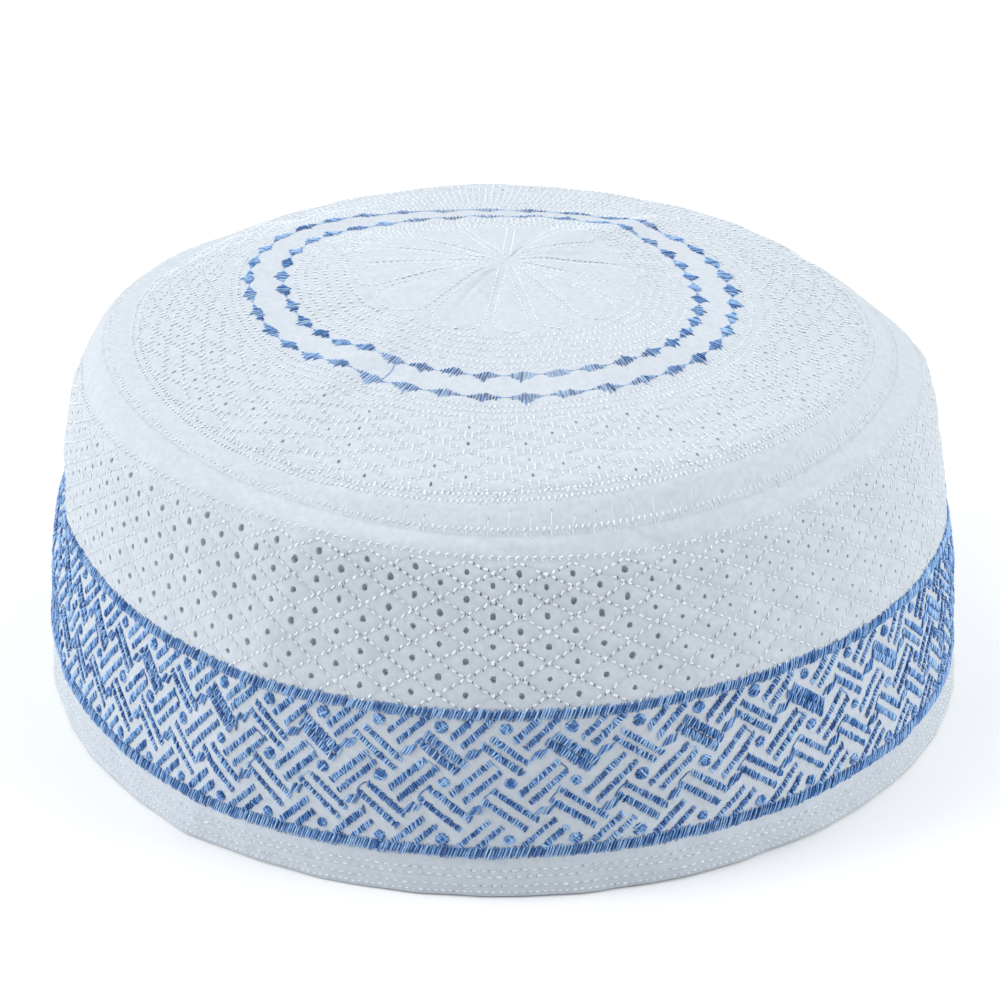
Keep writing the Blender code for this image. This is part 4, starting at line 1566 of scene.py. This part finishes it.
@dataclass
class BorderEmbroidery:
    """The blue border: a basket weave of paired satin bars between two satin lines."""

    surface: CapSurface
    relief: Callable
    lower_line: Pair = (8.2 * MM, 10.8 * MM)
    upper_line: Pair = (35.3 * MM, 37.4 * MM)
    repeats: int = 52
    heading_of: Pair = (118.0, 62.0)
    flatness: float = 0.6
    # Painted highlight on each thread's crest, with painted shade on its flanks
    crest: float = 0.38
    stray: float = 0.07 * MM
    comb: float = 0.17 * MM
    mean_tone: float = 0.46
    dark_tone: float = 0.35
    line_pitch: float = 0.47 * MM
    line_thread_half: float = 0.21 * MM
    line_rise: float = 0.4 * MM
    line_lean: float = 0.9 * MM
    line_comb: float = 1.5
    padding_points: int = 600
    padding_inset: float = 0.4 * MM
    padding_slope: float = 1.4
    padding_sunk: float = 0.3 * MM
    padding_height: float = 0.3
    # The padding is real thread, but its dark tone is painted shade for the gaps between the threads
    padding_tone: float = 0.18
    bar_pitch: float = 0.51 * MM
    thread_half: float = 0.25 * MM
    bar_half: float = 0.63 * MM
    bar_rise: float = 0.29 * MM
    bar_stray: float = 0.12 * MM
    bar_spread: float = 0.08
    turn_spread: float = 0.2
    thick_half: float = 0.92 * MM
    thick_apart: float = 1.7
    clearance: Pair = (0.3 * MM, 0.2 * MM)
    core_share: float = 0.9
    core_widths: tuple[float, ...] = (0.6, 1.0, 1.0, 1.0, 1.0, 0.6)
    core_sunk: float = 0.05 * MM
    core_rise: float = 0.2 * MM
    # The cores are real padding, but their dark tone is painted shade for the gaps between a bar's threads
    core_tone: float = 0.22
    dot_threads: int = 10
    dot_radius: Pair = (0.9, 1.25)
    dot_stray: float = 0.15 * MM
    dot_headings: Pair = (0.9, 2.3)
    dot_level: float = 0.8
    dot_dome: float = 1.3
    group_strokes: int = 4
    stroke_step: Pair = (0.58 * MM, 0.12 * MM)
    stroke_stray: float = 0.08 * MM
    stroke_reach: Pair = (0.95, 1.35)
    stroke_width: float = 1.1
    join_share: float = 0.75
    join_bow: tuple[float, ...] = (0.0, 0.25 * MM, 0.2 * MM, 0.0)
    join_half: float = 0.15 * MM
    join_rise: float = 0.08 * MM

    def __post_init__(self) -> None:
        """Seeds the small differences between threads."""
        self.rng = np.random.default_rng(67)
        self.pitch = FULL_TURN * self.surface.wall_radius / self.repeats

    def wall_place(self, place: Array) -> tuple[Array, Array]:
        """Angle and slant of places given by their distance round the cloth and their slant."""
        return self.surface.wall_angle(place[..., 0] / self.surface.wall_radius), place[..., 1]

    def lay(self, draft: MeshDraft, place: Array, lift: Array, half: Array | float, tone: Array) -> None:
        """Lays threads on the wall.

        Args:
            draft: The mesh to add to.
            place: Distance round the cloth and slant along each thread, threads by points by 2.
            lift: Height above the cloth, threads by points.
            half: Half widths.
            tone: Shade of each thread.
        """
        angle, slant = self.wall_place(place)
        centre = self.surface.face(angle, slant, lift + self.relief(angle, slant))
        normal = self.surface.outward(angle, slant)
        add_strands(draft, centre, normal, half, np.asarray(half) * self.flatness, 3, tone, self.crest)

    def tones(self, count: int, mean: Array | float, spread: float = 0.24) -> Array:
        """Shades of threads: light and dark by turns, with chance on top."""
        turns = np.where(np.arange(count) % 2 == 0, 0.06, -0.06)
        return np.clip(mean + turns + self.rng.normal(0, spread, count), 0, 1)

    def build_line(self, name: str, edges: Pair, node: str, finish: ThreadFinish) -> Piece:
        """Builds a satin line: threads across it, side by side, with comb-like ends.

        A thread takes LINE_COURSE from the lower edge to the upper one and leans by under
        a millimetre on the way. Each end strays by up to a quarter of a millimetre. A low
        padding of a middle blue runs round under the threads; it is real, but its darker tone is painted
        shade for the gaps between them.

        Args:
            name: The piece's name.
            edges: Lowest and highest slant.
            node: The solid that it replaces.
            finish: The thread.

        Returns:
            The piece.
        """
        length = FULL_TURN * self.surface.wall_radius
        count = round(length / self.line_pitch)
        around = np.arange(count) * length / count + self.rng.normal(0, self.stray, count)
        low = edges[0] + self.rng.uniform(-self.line_comb, self.line_comb, count) * self.comb
        high = edges[1] + self.rng.uniform(-self.line_comb, self.line_comb, count) * self.comb
        share = np.array(LINE_COURSE.share)
        slant = low[:, None] + share * (high - low)[:, None]
        place = np.stack([around[:, None] + self.line_lean * (share - 0.5), slant], axis=-1)
        height = self.line_rise * np.array(LINE_COURSE.height)
        lift = height * self.rng.uniform(0.85, 1.1, (count, 1))
        half = self.line_thread_half * np.array(LINE_COURSE.width)
        draft = MeshDraft()
        self.lay(draft, place, lift, half, self.tones(count, self.mean_tone))
        self.add_padding(draft, edges)
        return dress(draft.write(name, finish.material()), "blue_thread", node)

    def add_padding(self, draft: MeshDraft, edges: Pair) -> None:
        """Adds the padding under a satin line: a low closed band of four rings.

        Args:
            draft: The mesh to add to.
            edges: Lowest and highest slant of the line.
        """
        count = self.padding_points
        angle = np.arange(count) * FULL_TURN / count
        inset, top = self.padding_inset, self.padding_height * self.line_rise
        section = ((edges[0] + inset, -self.padding_sunk), (edges[0] + self.padding_slope * inset, top),
                   (edges[1] - self.padding_slope * inset, top), (edges[1] - inset, -self.padding_sunk))
        rings = [self.surface.face(angle, slant, lift + self.relief(angle, np.full(count, slant)))
                 for slant, lift in section]
        index = np.arange(4 * count).reshape(4, count)
        faces = [bridge(index[i], index[(i + 1) % 4]) for i in range(4)]
        # Real padding whose dark tone is painted shade between the threads
        draft.add(np.concatenate(rings), faces, self.padding_tone)

    @staticmethod
    def directions(row: WeaveRow) -> tuple[Array, Array]:
        """The directions along a row's bars and across them."""
        lean = math.radians(row.lean)
        along = np.array([math.cos(lean), math.sin(lean)])
        return along, np.array([-along[1], along[0]])

    def middles(self, row: WeaveRow, repeat: Array, shift: float = 0.0) -> Array:
        """Middles of a row's repeats, or of places a share of a repeat further on."""
        distance = (repeat + row.start + shift) * self.pitch
        return np.stack([distance, np.full(len(repeat), row.slant * MM)], axis=-1)

    @staticmethod
    def path(middle: Array, reach: Array, heading: Array, course: Course) -> Array:
        """Points of threads that reach to both sides of their middles along their headings."""
        steps = np.array(course.share) * reach[..., None]
        return middle[..., None, :] + steps[..., None] * heading[..., None, :]

    def weave_band(self) -> Pair:
        """Lowest and highest slant of the weave, between the two satin lines."""
        return self.lower_line[1] - self.clearance[0], self.upper_line[0] + self.clearance[1]

    def bars(self, draft: MeshDraft, row: WeaveRow) -> None:
        """Adds a row of paired bars, each a ladder of short threads over a padding.

        The bar's middle stands half the pair's distance off the pair's own middle. Thread
        j lies at j pitches along the bar and runs across it, turned towards the upright.
        Threads whose middle is past the border's lines are left out.

        Args:
            draft: The mesh to add to.
            row: The row's sizes.
        """
        along, across = self.directions(row)
        repeat, side = np.meshgrid(np.arange(self.repeats), (-1, 1), indexing="ij")
        repeat, side = repeat.ravel(), side.ravel()
        thick = (repeat % row.thick_every == 0) if row.thick_every else np.zeros(len(repeat), bool)
        apart = np.where(thick, self.thick_apart, row.apart) * MM / 2
        middle = self.middles(row, repeat) + (side * apart)[:, None] * across
        middle = middle + self.rng.normal(0, self.bar_stray, middle.shape)
        half_length = row.length * MM / 2 * self.rng.uniform(0.98, 1.12, len(repeat))
        thin_half = self.bar_half * self.rng.uniform(0.85, 1.15, len(repeat))
        half_width = np.where(thick, self.thick_half, thin_half)
        steps = int(row.length * MM / self.bar_pitch) + 3
        at = (np.arange(steps) - (steps - 1) / 2) * self.bar_pitch
        at = at + self.rng.normal(0, self.stray, (len(repeat), steps))
        turned = math.radians(self.heading_of[0] if row.lean > 0 else self.heading_of[1])
        turned = turned + self.rng.normal(0, self.turn_spread, at.shape)
        heading = np.stack([np.cos(turned), np.sin(turned)], axis=-1)
        reach = half_width[:, None] / (heading @ across) + self.rng.uniform(-0.6, 1.2, at.shape) * self.comb
        centre = middle[:, None] + at[..., None] * along
        low, high = self.weave_band()
        kept = (np.abs(at) <= half_length[:, None]) & (centre[..., 1] > low) & (centre[..., 1] < high)
        height = self.bar_rise * np.array(BAR_COURSE.height)
        lift = (height * self.rng.uniform(0.8, 1.2, (*at.shape, 1)))[kept]
        bar_tone = self.rng.normal(self.mean_tone, self.bar_spread, len(repeat))
        bar_tone = np.repeat(bar_tone[:, None], steps, axis=1)[kept]
        path = self.path(centre[kept], reach[kept], heading[kept], BAR_COURSE)
        half = self.thread_half * np.array(BAR_COURSE.width)
        self.lay(draft, path, lift, half, self.tones(len(path), bar_tone))
        self.add_cores(draft, middle, half_length, half_width, along)

    def add_cores(self, draft: MeshDraft, middle: Array, half_length: Array, half_width: Array,
                  along: Array) -> None:
        """Adds the low padding under each bar, cut off at the border's lines.

        Args:
            draft: The mesh to add to.
            middle: The bars' middles, bars by 2.
            half_length: Half lengths of the bars.
            half_width: Half widths of the bars.
            along: Direction of the bars.
        """
        low, high = self.weave_band()
        tips = np.array([-self.core_share, self.core_share]) * half_length[:, None] * along[1]
        span = (np.clip(middle[:, None, 1] + tips, low, high) - middle[:, 1:]) / along[1]
        share = np.linspace(0, 1, len(self.core_widths))
        distance = span[:, :1] + share * (span[:, 1:] - span[:, :1])
        angle, slant = self.wall_place(middle[:, None] + distance[..., None] * along)
        width = half_width[:, None] * np.array(self.core_widths)
        core = self.surface.face(angle, slant, self.relief(angle, slant) - self.core_sunk)
        normal = self.surface.outward(angle, slant)
        # Real padding whose dark tone is painted shade between the bar's threads
        add_strands(draft, core, normal, width, self.core_rise, 4, self.core_tone)

    def dots(self, draft: MeshDraft, row: WeaveRow) -> None:
        """Adds the small knotted dots between the pairs of a row that climbs to the right.

        Short threads lie across each other within a disc, every other one turned to the
        other side. Each is set off from the middle by a share of the radius, and is as
        long as the chord there. The radius, in millimetres, differs from dot to dot.

        Args:
            draft: The mesh to add to.
            row: The row's sizes.
        """
        shape = (self.repeats, self.dot_threads)
        radius = self.rng.uniform(*self.dot_radius, (self.repeats, 1)) * MM
        middle = self.middles(row, np.arange(self.repeats), 0.5)
        middle = middle + self.rng.normal(0, self.dot_stray, middle.shape)
        heading = np.where(np.arange(self.dot_threads) % 2 == 0, *self.dot_headings)
        heading = heading + self.rng.normal(0, 0.25, shape)
        along = np.stack([np.cos(heading), np.sin(heading)], axis=-1)
        across = np.stack([-along[..., 1], along[..., 0]], axis=-1)
        level = np.linspace(-self.dot_level, self.dot_level, self.dot_threads)
        level = level + self.rng.normal(0, 0.06, shape)
        chord = radius * np.sqrt(np.maximum(1 - level ** 2, 0.1)) * self.rng.uniform(0.85, 1.05, shape)
        centre = middle[:, None] + (level * radius)[..., None] * across
        path = self.path(centre, chord, along, DOT_COURSE).reshape(-1, len(DOT_COURSE.share), 2)
        dome = (self.dot_dome - level.reshape(-1, 1) ** 2) * self.rng.uniform(0.7, 1.1, (len(path), 1))
        lift = self.bar_rise * np.array(DOT_COURSE.height) * dome
        self.lay(draft, path, lift, self.thread_half, self.tones(len(path), self.dark_tone, 0.3))

    def strokes(self, draft: MeshDraft, row: WeaveRow) -> None:
        """Adds the groups of short strokes between the pairs of a row that climbs to the left.

        Args:
            draft: The mesh to add to.
            row: The row's sizes.
        """
        step = np.arange(self.group_strokes) - (self.group_strokes - 1) / 2
        repeat, step = np.meshgrid(np.arange(self.repeats), step, indexing="ij")
        middle = self.middles(row, repeat.ravel(), 0.5) + step.reshape(-1, 1) * np.array(self.stroke_step)
        middle = middle + self.rng.normal(0, self.stroke_stray, middle.shape)
        lean = math.radians(self.heading_of[1]) + self.rng.normal(0, 0.1, len(middle))
        heading = np.stack([np.cos(lean), np.sin(lean)], axis=-1)
        reach = self.rng.uniform(*self.stroke_reach, len(middle)) * MM
        path = self.path(middle, reach, heading, STROKE_COURSE)
        lift = np.tile(self.bar_rise * np.array(STROKE_COURSE.height), (len(path), 1))
        tone = self.tones(len(path), self.dark_tone)
        self.lay(draft, path, lift, self.thread_half * self.stroke_width, tone)

    def joins(self, draft: MeshDraft, row: WeaveRow) -> None:
        """Adds the thin thread that runs from one bar of a pair to the other at one end."""
        along, across = self.directions(row)
        end = 1 if row.lean > 0 else -1
        repeat = np.arange(self.repeats)[self.rng.random(self.repeats) < self.join_share]
        middle = self.middles(row, repeat) + end * row.length * MM / 2 * along
        reach = np.full(len(repeat), row.apart * MM / 2)
        bow = end * np.array(self.join_bow)[:, None] * along
        path = self.path(middle, reach, across, JOIN_COURSE) + bow
        lift = np.tile(self.join_rise * np.array(JOIN_COURSE.height), (len(path), 1))
        self.lay(draft, path, lift, self.join_half, self.tones(len(path), self.dark_tone))

    def build_weave(self, finish: ThreadFinish) -> list[Piece]:
        """Builds the basket weave as two pieces, one for each way that the bars climb.

        Args:
            finish: The thread.

        Returns:
            Both pieces.
        """
        pieces = []
        for lean, name in ((Lean.RIGHT, "weave_climbing_right"), (Lean.LEFT, "weave_climbing_left")):
            draft = MeshDraft()
            for row in WEAVE_ROWS:
                if (row.lean > 0) != (lean is Lean.RIGHT):
                    continue
                self.bars(draft, row)
                if lean is Lean.RIGHT:
                    self.dots(draft, row)
                else:
                    self.strokes(draft, row)
                if row.name in "CD":
                    self.joins(draft, row)
            pieces.append(draft.write(name, finish.material()))
        dress(pieces[0], "blue_thread", "woven_border")
        dress(pieces[1], "blue_thread")
        return pieces


@dataclass
class DiamondChains:
    """The two rings of blue diamonds on the crown, each diamond a fan of satin threads."""

    surface: CapSurface
    relief: Callable
    diamonds: int = 39
    drift_back: float = 0.10
    drift_sides: float = 0.06
    half_height: float = 1.4 * MM
    half_share: float = 0.4
    thread_pitch: float = 0.56 * MM
    thread_half: float = 0.17 * MM
    flatness: float = 0.8
    # Painted highlight on each thread's crest, with painted shade on its flanks
    crest: float = 0.42
    rise: float = 0.26 * MM
    tip_reach: float = 0.15 * MM
    up_stray: Pair = (-0.3, 0.25)
    down_stray: Pair = (-0.4, 0.7)
    link_share: float = 0.56
    link_steps: tuple[float, ...] = (-1.0, -0.4, 0.4, 1.0)
    link_half: float = 0.09 * MM
    link_rise: float = 0.04 * MM
    joint_points: int = 12
    joint_heading: Pair = (240.4, 1.9)
    joint_bow: float = 0.9
    joint_slant: Pair = (107.6, -6.2)
    joint_half: float = 0.14 * MM
    joint_rise: float = 0.08 * MM

    def __post_init__(self) -> None:
        """Seeds the small differences between threads."""
        self.rng = np.random.default_rng(83)

    def turned(self, turn: Array) -> Array:
        """Angle of a place in the chain, whose diamonds stand wider apart at the back."""
        return turn - self.drift_back * np.cos(turn) - self.drift_sides * np.sin(2 * turn)

    def build(self, name: str, level: str, node: str, finish: ThreadFinish) -> Piece:
        """Builds one ring.

        A thread at a share s of the way from a diamond's middle to its corner reaches up
        and down by the half height times one minus s and a little more, with a comb-like
        stray in millimetres at both ends. A thin link joins each diamond to the next.

        Args:
            name: The piece's name.
            level: The level line that it follows.
            node: The solid that it replaces.
            finish: The thread.

        Returns:
            The piece.
        """
        slant = self.surface.slant_of[level]
        radius = self.surface.radius_at(slant)
        spacing = FULL_TURN * radius / self.diamonds
        per_side = int(self.half_share * spacing / self.thread_pitch)
        offset = np.arange(-per_side, per_side + 1) * self.thread_pitch
        diamond, offset = np.meshgrid(np.arange(self.diamonds), offset, indexing="ij")
        tone_of = self.rng.normal(0.45, 0.12, self.diamonds)
        tone = np.clip(tone_of[diamond.ravel()] + self.rng.normal(0, 0.28, diamond.size), 0, 1)
        turn = self.turned((diamond.ravel() + offset.ravel() / spacing) * FULL_TURN / self.diamonds)
        share = 1 - np.abs(offset.ravel()) / (self.half_share * spacing)
        reach = self.half_height * share + self.tip_reach
        up = reach + self.rng.uniform(*self.up_stray, len(reach)) * MM * (0.4 + share)
        down = reach + self.rng.uniform(*self.down_stray, len(reach)) * MM * (0.4 + share)
        steps = np.array(CHAIN_COURSE.share)
        along = np.where(steps > 0, up[:, None] * steps, down[:, None] * steps)
        lean = self.rng.normal(0.1, 0.1, len(reach))[:, None] * along / radius
        height = self.rise * (0.5 + 0.5 * share)[:, None] * np.array(CHAIN_COURSE.height)
        half = self.thread_half * np.array(CHAIN_COURSE.width)
        draft = MeshDraft()
        self.lay(draft, turn[:, None] + lean, slant + along, height, half, tone)
        link = np.array(self.link_steps) * (self.link_share - self.half_share) * FULL_TURN / self.diamonds
        angle = self.turned((np.arange(self.diamonds) + 0.5)[:, None] * FULL_TURN / self.diamonds + link)
        lift = np.full(angle.shape, self.link_rise)
        tone = self.rng.uniform(0.6, 0.9, self.diamonds)
        self.lay(draft, angle, np.full(angle.shape, slant), lift, self.link_half, tone)
        return dress(draft.write(name, finish.material()), "blue_thread", node)

    def lay(self, draft: MeshDraft, angle: Array, slant: Array, lift: Array, half: Array | float,
            tone: Array) -> None:
        """Lays threads on the crown, threads by points."""
        centre = self.surface.face(angle, slant, lift + self.relief(angle, slant))
        normal = self.surface.outward(angle, slant)
        add_strands(draft, centre, normal, half, np.asarray(half) * self.flatness, 3, tone, self.crest)

    def build_joint_thread(self, finish: ThreadFinish) -> Piece:
        """Builds the loose thread that runs from the inner ring to the outer one at the front left.

        Its heading, in degrees, and its slant, in millimetres, are a start and a run. It
        bows to the side by the joint's bow.

        Args:
            finish: The thread.

        Returns:
            The piece.
        """
        share = np.linspace(0, 1, self.joint_points)[None]
        heading = self.joint_heading[0] + self.joint_heading[1] * share
        angle = np.radians(heading + self.joint_bow * np.sin(math.pi * share))
        slant = (self.joint_slant[0] + self.joint_slant[1] * share) * MM
        lift = np.full(share.shape, self.joint_rise)
        draft = MeshDraft()
        self.lay(draft, angle, slant, lift, self.joint_half, np.array([0.5]))
        return dress(draft.write("chain_joint_thread", finish.material()), "blue_thread")


class Lamp(NamedTuple):
    """A square soft light: its name, its place and width in metres, and its power in watts."""

    name: str
    place: Triple
    size: float
    power: float


LAMPS = (
    Lamp("left window", (-5.2, -0.4, 2.8), 4.0, 227.0),
    Lamp("right window", (5.2, -0.2, 2.8), 4.0, 182.0),
    Lamp("ceiling", (0.0, 0.8, 6.0), 6.4, 237.0),
)


@dataclass
class Studio:
    """A plain pale floor, soft lights and the camera."""

    elevation: float = 27.2
    distance: float = 0.6
    target: Triple = (-1.21 * MM, 0.1 * MM, 31.8 * MM)
    lens: float = 110.3
    sensor: float = 36.0
    roll: float = 0.79
    floor_size: float = 24.0
    paper_grain: float = 40.0
    paper_stops: tuple = ((0.3, (0.965, 0.97, 0.975)), (0.7, (0.98, 0.985, 0.99)))
    sky: tuple[float, ...] = (0.97, 0.985, 1.0, 1.0)
    sky_strength: float = 0.285
    aim: Triple = (0.0, 0.0, 0.04)

    def build(self) -> None:
        """Builds the floor, the sky, the lights and the camera."""
        bpy.context.scene.view_settings.view_transform = "Standard"
        self.build_floor()
        world = bpy.data.worlds.new("soft sky")
        world.use_nodes = True
        background = world.node_tree.nodes["Background"]
        background.inputs["Color"].default_value = self.sky
        background.inputs["Strength"].default_value = self.sky_strength
        bpy.context.scene.world = world
        for lamp in LAMPS:
            self.add_light(lamp)
        self.add_camera()

    def build_floor(self) -> None:
        """A wide pale sheet under the rim."""
        half = self.floor_size / 2
        mesh = bpy.data.meshes.new("floor")
        corners = [(-half, -half, 0), (half, -half, 0), (half, half, 0), (-half, half, 0)]
        mesh.from_pydata(corners, [], [(0, 1, 2, 3)])
        sketch = NodeSketch("floor paper")
        place = sketch.add("ShaderNodeTexCoord")
        grain = sketch.noise(place.outputs["Object"], self.paper_grain, 3.0)
        colour = sketch.ramp(grain, self.paper_stops)
        sketch.join(colour, sketch.shader.inputs["Base Color"])
        sketch.gloss(0.9, 0.0, 0.5)
        mesh.materials.append(sketch.material)
        floor = bpy.data.objects.new("floor", mesh)
        bpy.context.scene.collection.objects.link(floor)

    def add_light(self, lamp: Lamp) -> None:
        """Adds a light that faces the cap."""
        light = bpy.data.lights.new(lamp.name, "AREA")
        light.size = lamp.size
        light.energy = lamp.power
        holder = bpy.data.objects.new(lamp.name, light)
        holder.location = lamp.place
        aim = Vector(self.aim) - Vector(lamp.place)
        holder.rotation_euler = aim.to_track_quat("-Z", "Y").to_euler()
        bpy.context.scene.collection.objects.link(holder)

    def add_camera(self) -> None:
        """Adds the camera: in front, looking down at the cap, with a slight roll."""
        camera = bpy.data.cameras.new("camera")
        camera.lens = self.lens
        camera.sensor_width = self.sensor
        holder = bpy.data.objects.new("camera", camera)
        lift = math.radians(self.elevation)
        away = Vector((0, -math.cos(lift), math.sin(lift))) * self.distance
        target = Vector(self.target)
        turn = (-away).to_track_quat("-Z", "Y").to_matrix().to_4x4()
        holder.matrix_world = Matrix.Translation(target + away) @ turn @ Matrix.Rotation(
            math.radians(self.roll), 4, "Z")
        bpy.context.scene.collection.objects.link(holder)
        bpy.context.scene.camera = holder


WHITE_CLOTH = ClothFinish("white cotton")
WHITE_THREAD = ThreadFinish("white thread", (0.80, 0.86, 0.93), (0.86, 0.92, 0.98),
                            (0.91, 0.965, 1.0), 0.4, 0.1)
# Painted shadow: dark greys stand for the shade inside each needle hole
HOLE_SHADOW = ThreadFinish("needle hole", (0.10, 0.11, 0.13), (0.30, 0.33, 0.37),
                           (0.57, 0.62, 0.69), 0.9, 0.0)
BORDER_THREAD = ThreadFinish("border thread", (0.008, 0.07, 0.28), (0.07, 0.25, 0.64),
                             (0.44, 0.69, 1.0), 0.32)
CHAIN_THREAD = ThreadFinish("chain thread", (0.012, 0.08, 0.30), (0.09, 0.27, 0.64),
                            (0.44, 0.67, 0.96), 0.36)


def main() -> None:
    """Builds the cap's pieces and the studio, and reports each piece."""
    logging.basicConfig(level=logging.INFO, format="%(name)s: %(message)s")
    surface = CapSurface()
    wall = QuiltedWall(surface)
    wall.build(WHITE_CLOTH)
    crown = QuiltedCrown(surface)
    crown.build(WHITE_CLOTH)
    stitching = WhiteStitching(surface)
    stitching.build_wall_net(wall, WHITE_THREAD)
    stitching.build_hem(wall, WHITE_THREAD)
    stitching.build_seam(wall, crown, WHITE_THREAD)
    stitching.build_crown(crown, WHITE_THREAD)
    # The painted shadows at the needle hole of each stitch
    stitching.build_hole_shadows(HOLE_SHADOW)
    border = BorderEmbroidery(surface, wall.relief)
    border.build_line("lower_satin_line", border.lower_line, "border_lower_line", BORDER_THREAD)
    border.build_line("upper_satin_line", border.upper_line, "border_upper_line", BORDER_THREAD)
    border.build_weave(BORDER_THREAD)
    chains = DiamondChains(surface, crown.relief)
    chains.build("outer_diamond_ring", "outer chain", "crown_ring_outer", CHAIN_THREAD)
    chains.build("inner_diamond_ring", "inner chain", "crown_ring_inner", CHAIN_THREAD)
    chains.build_joint_thread(CHAIN_THREAD)
    Studio().build()


if __name__ == "__main__":
    main()
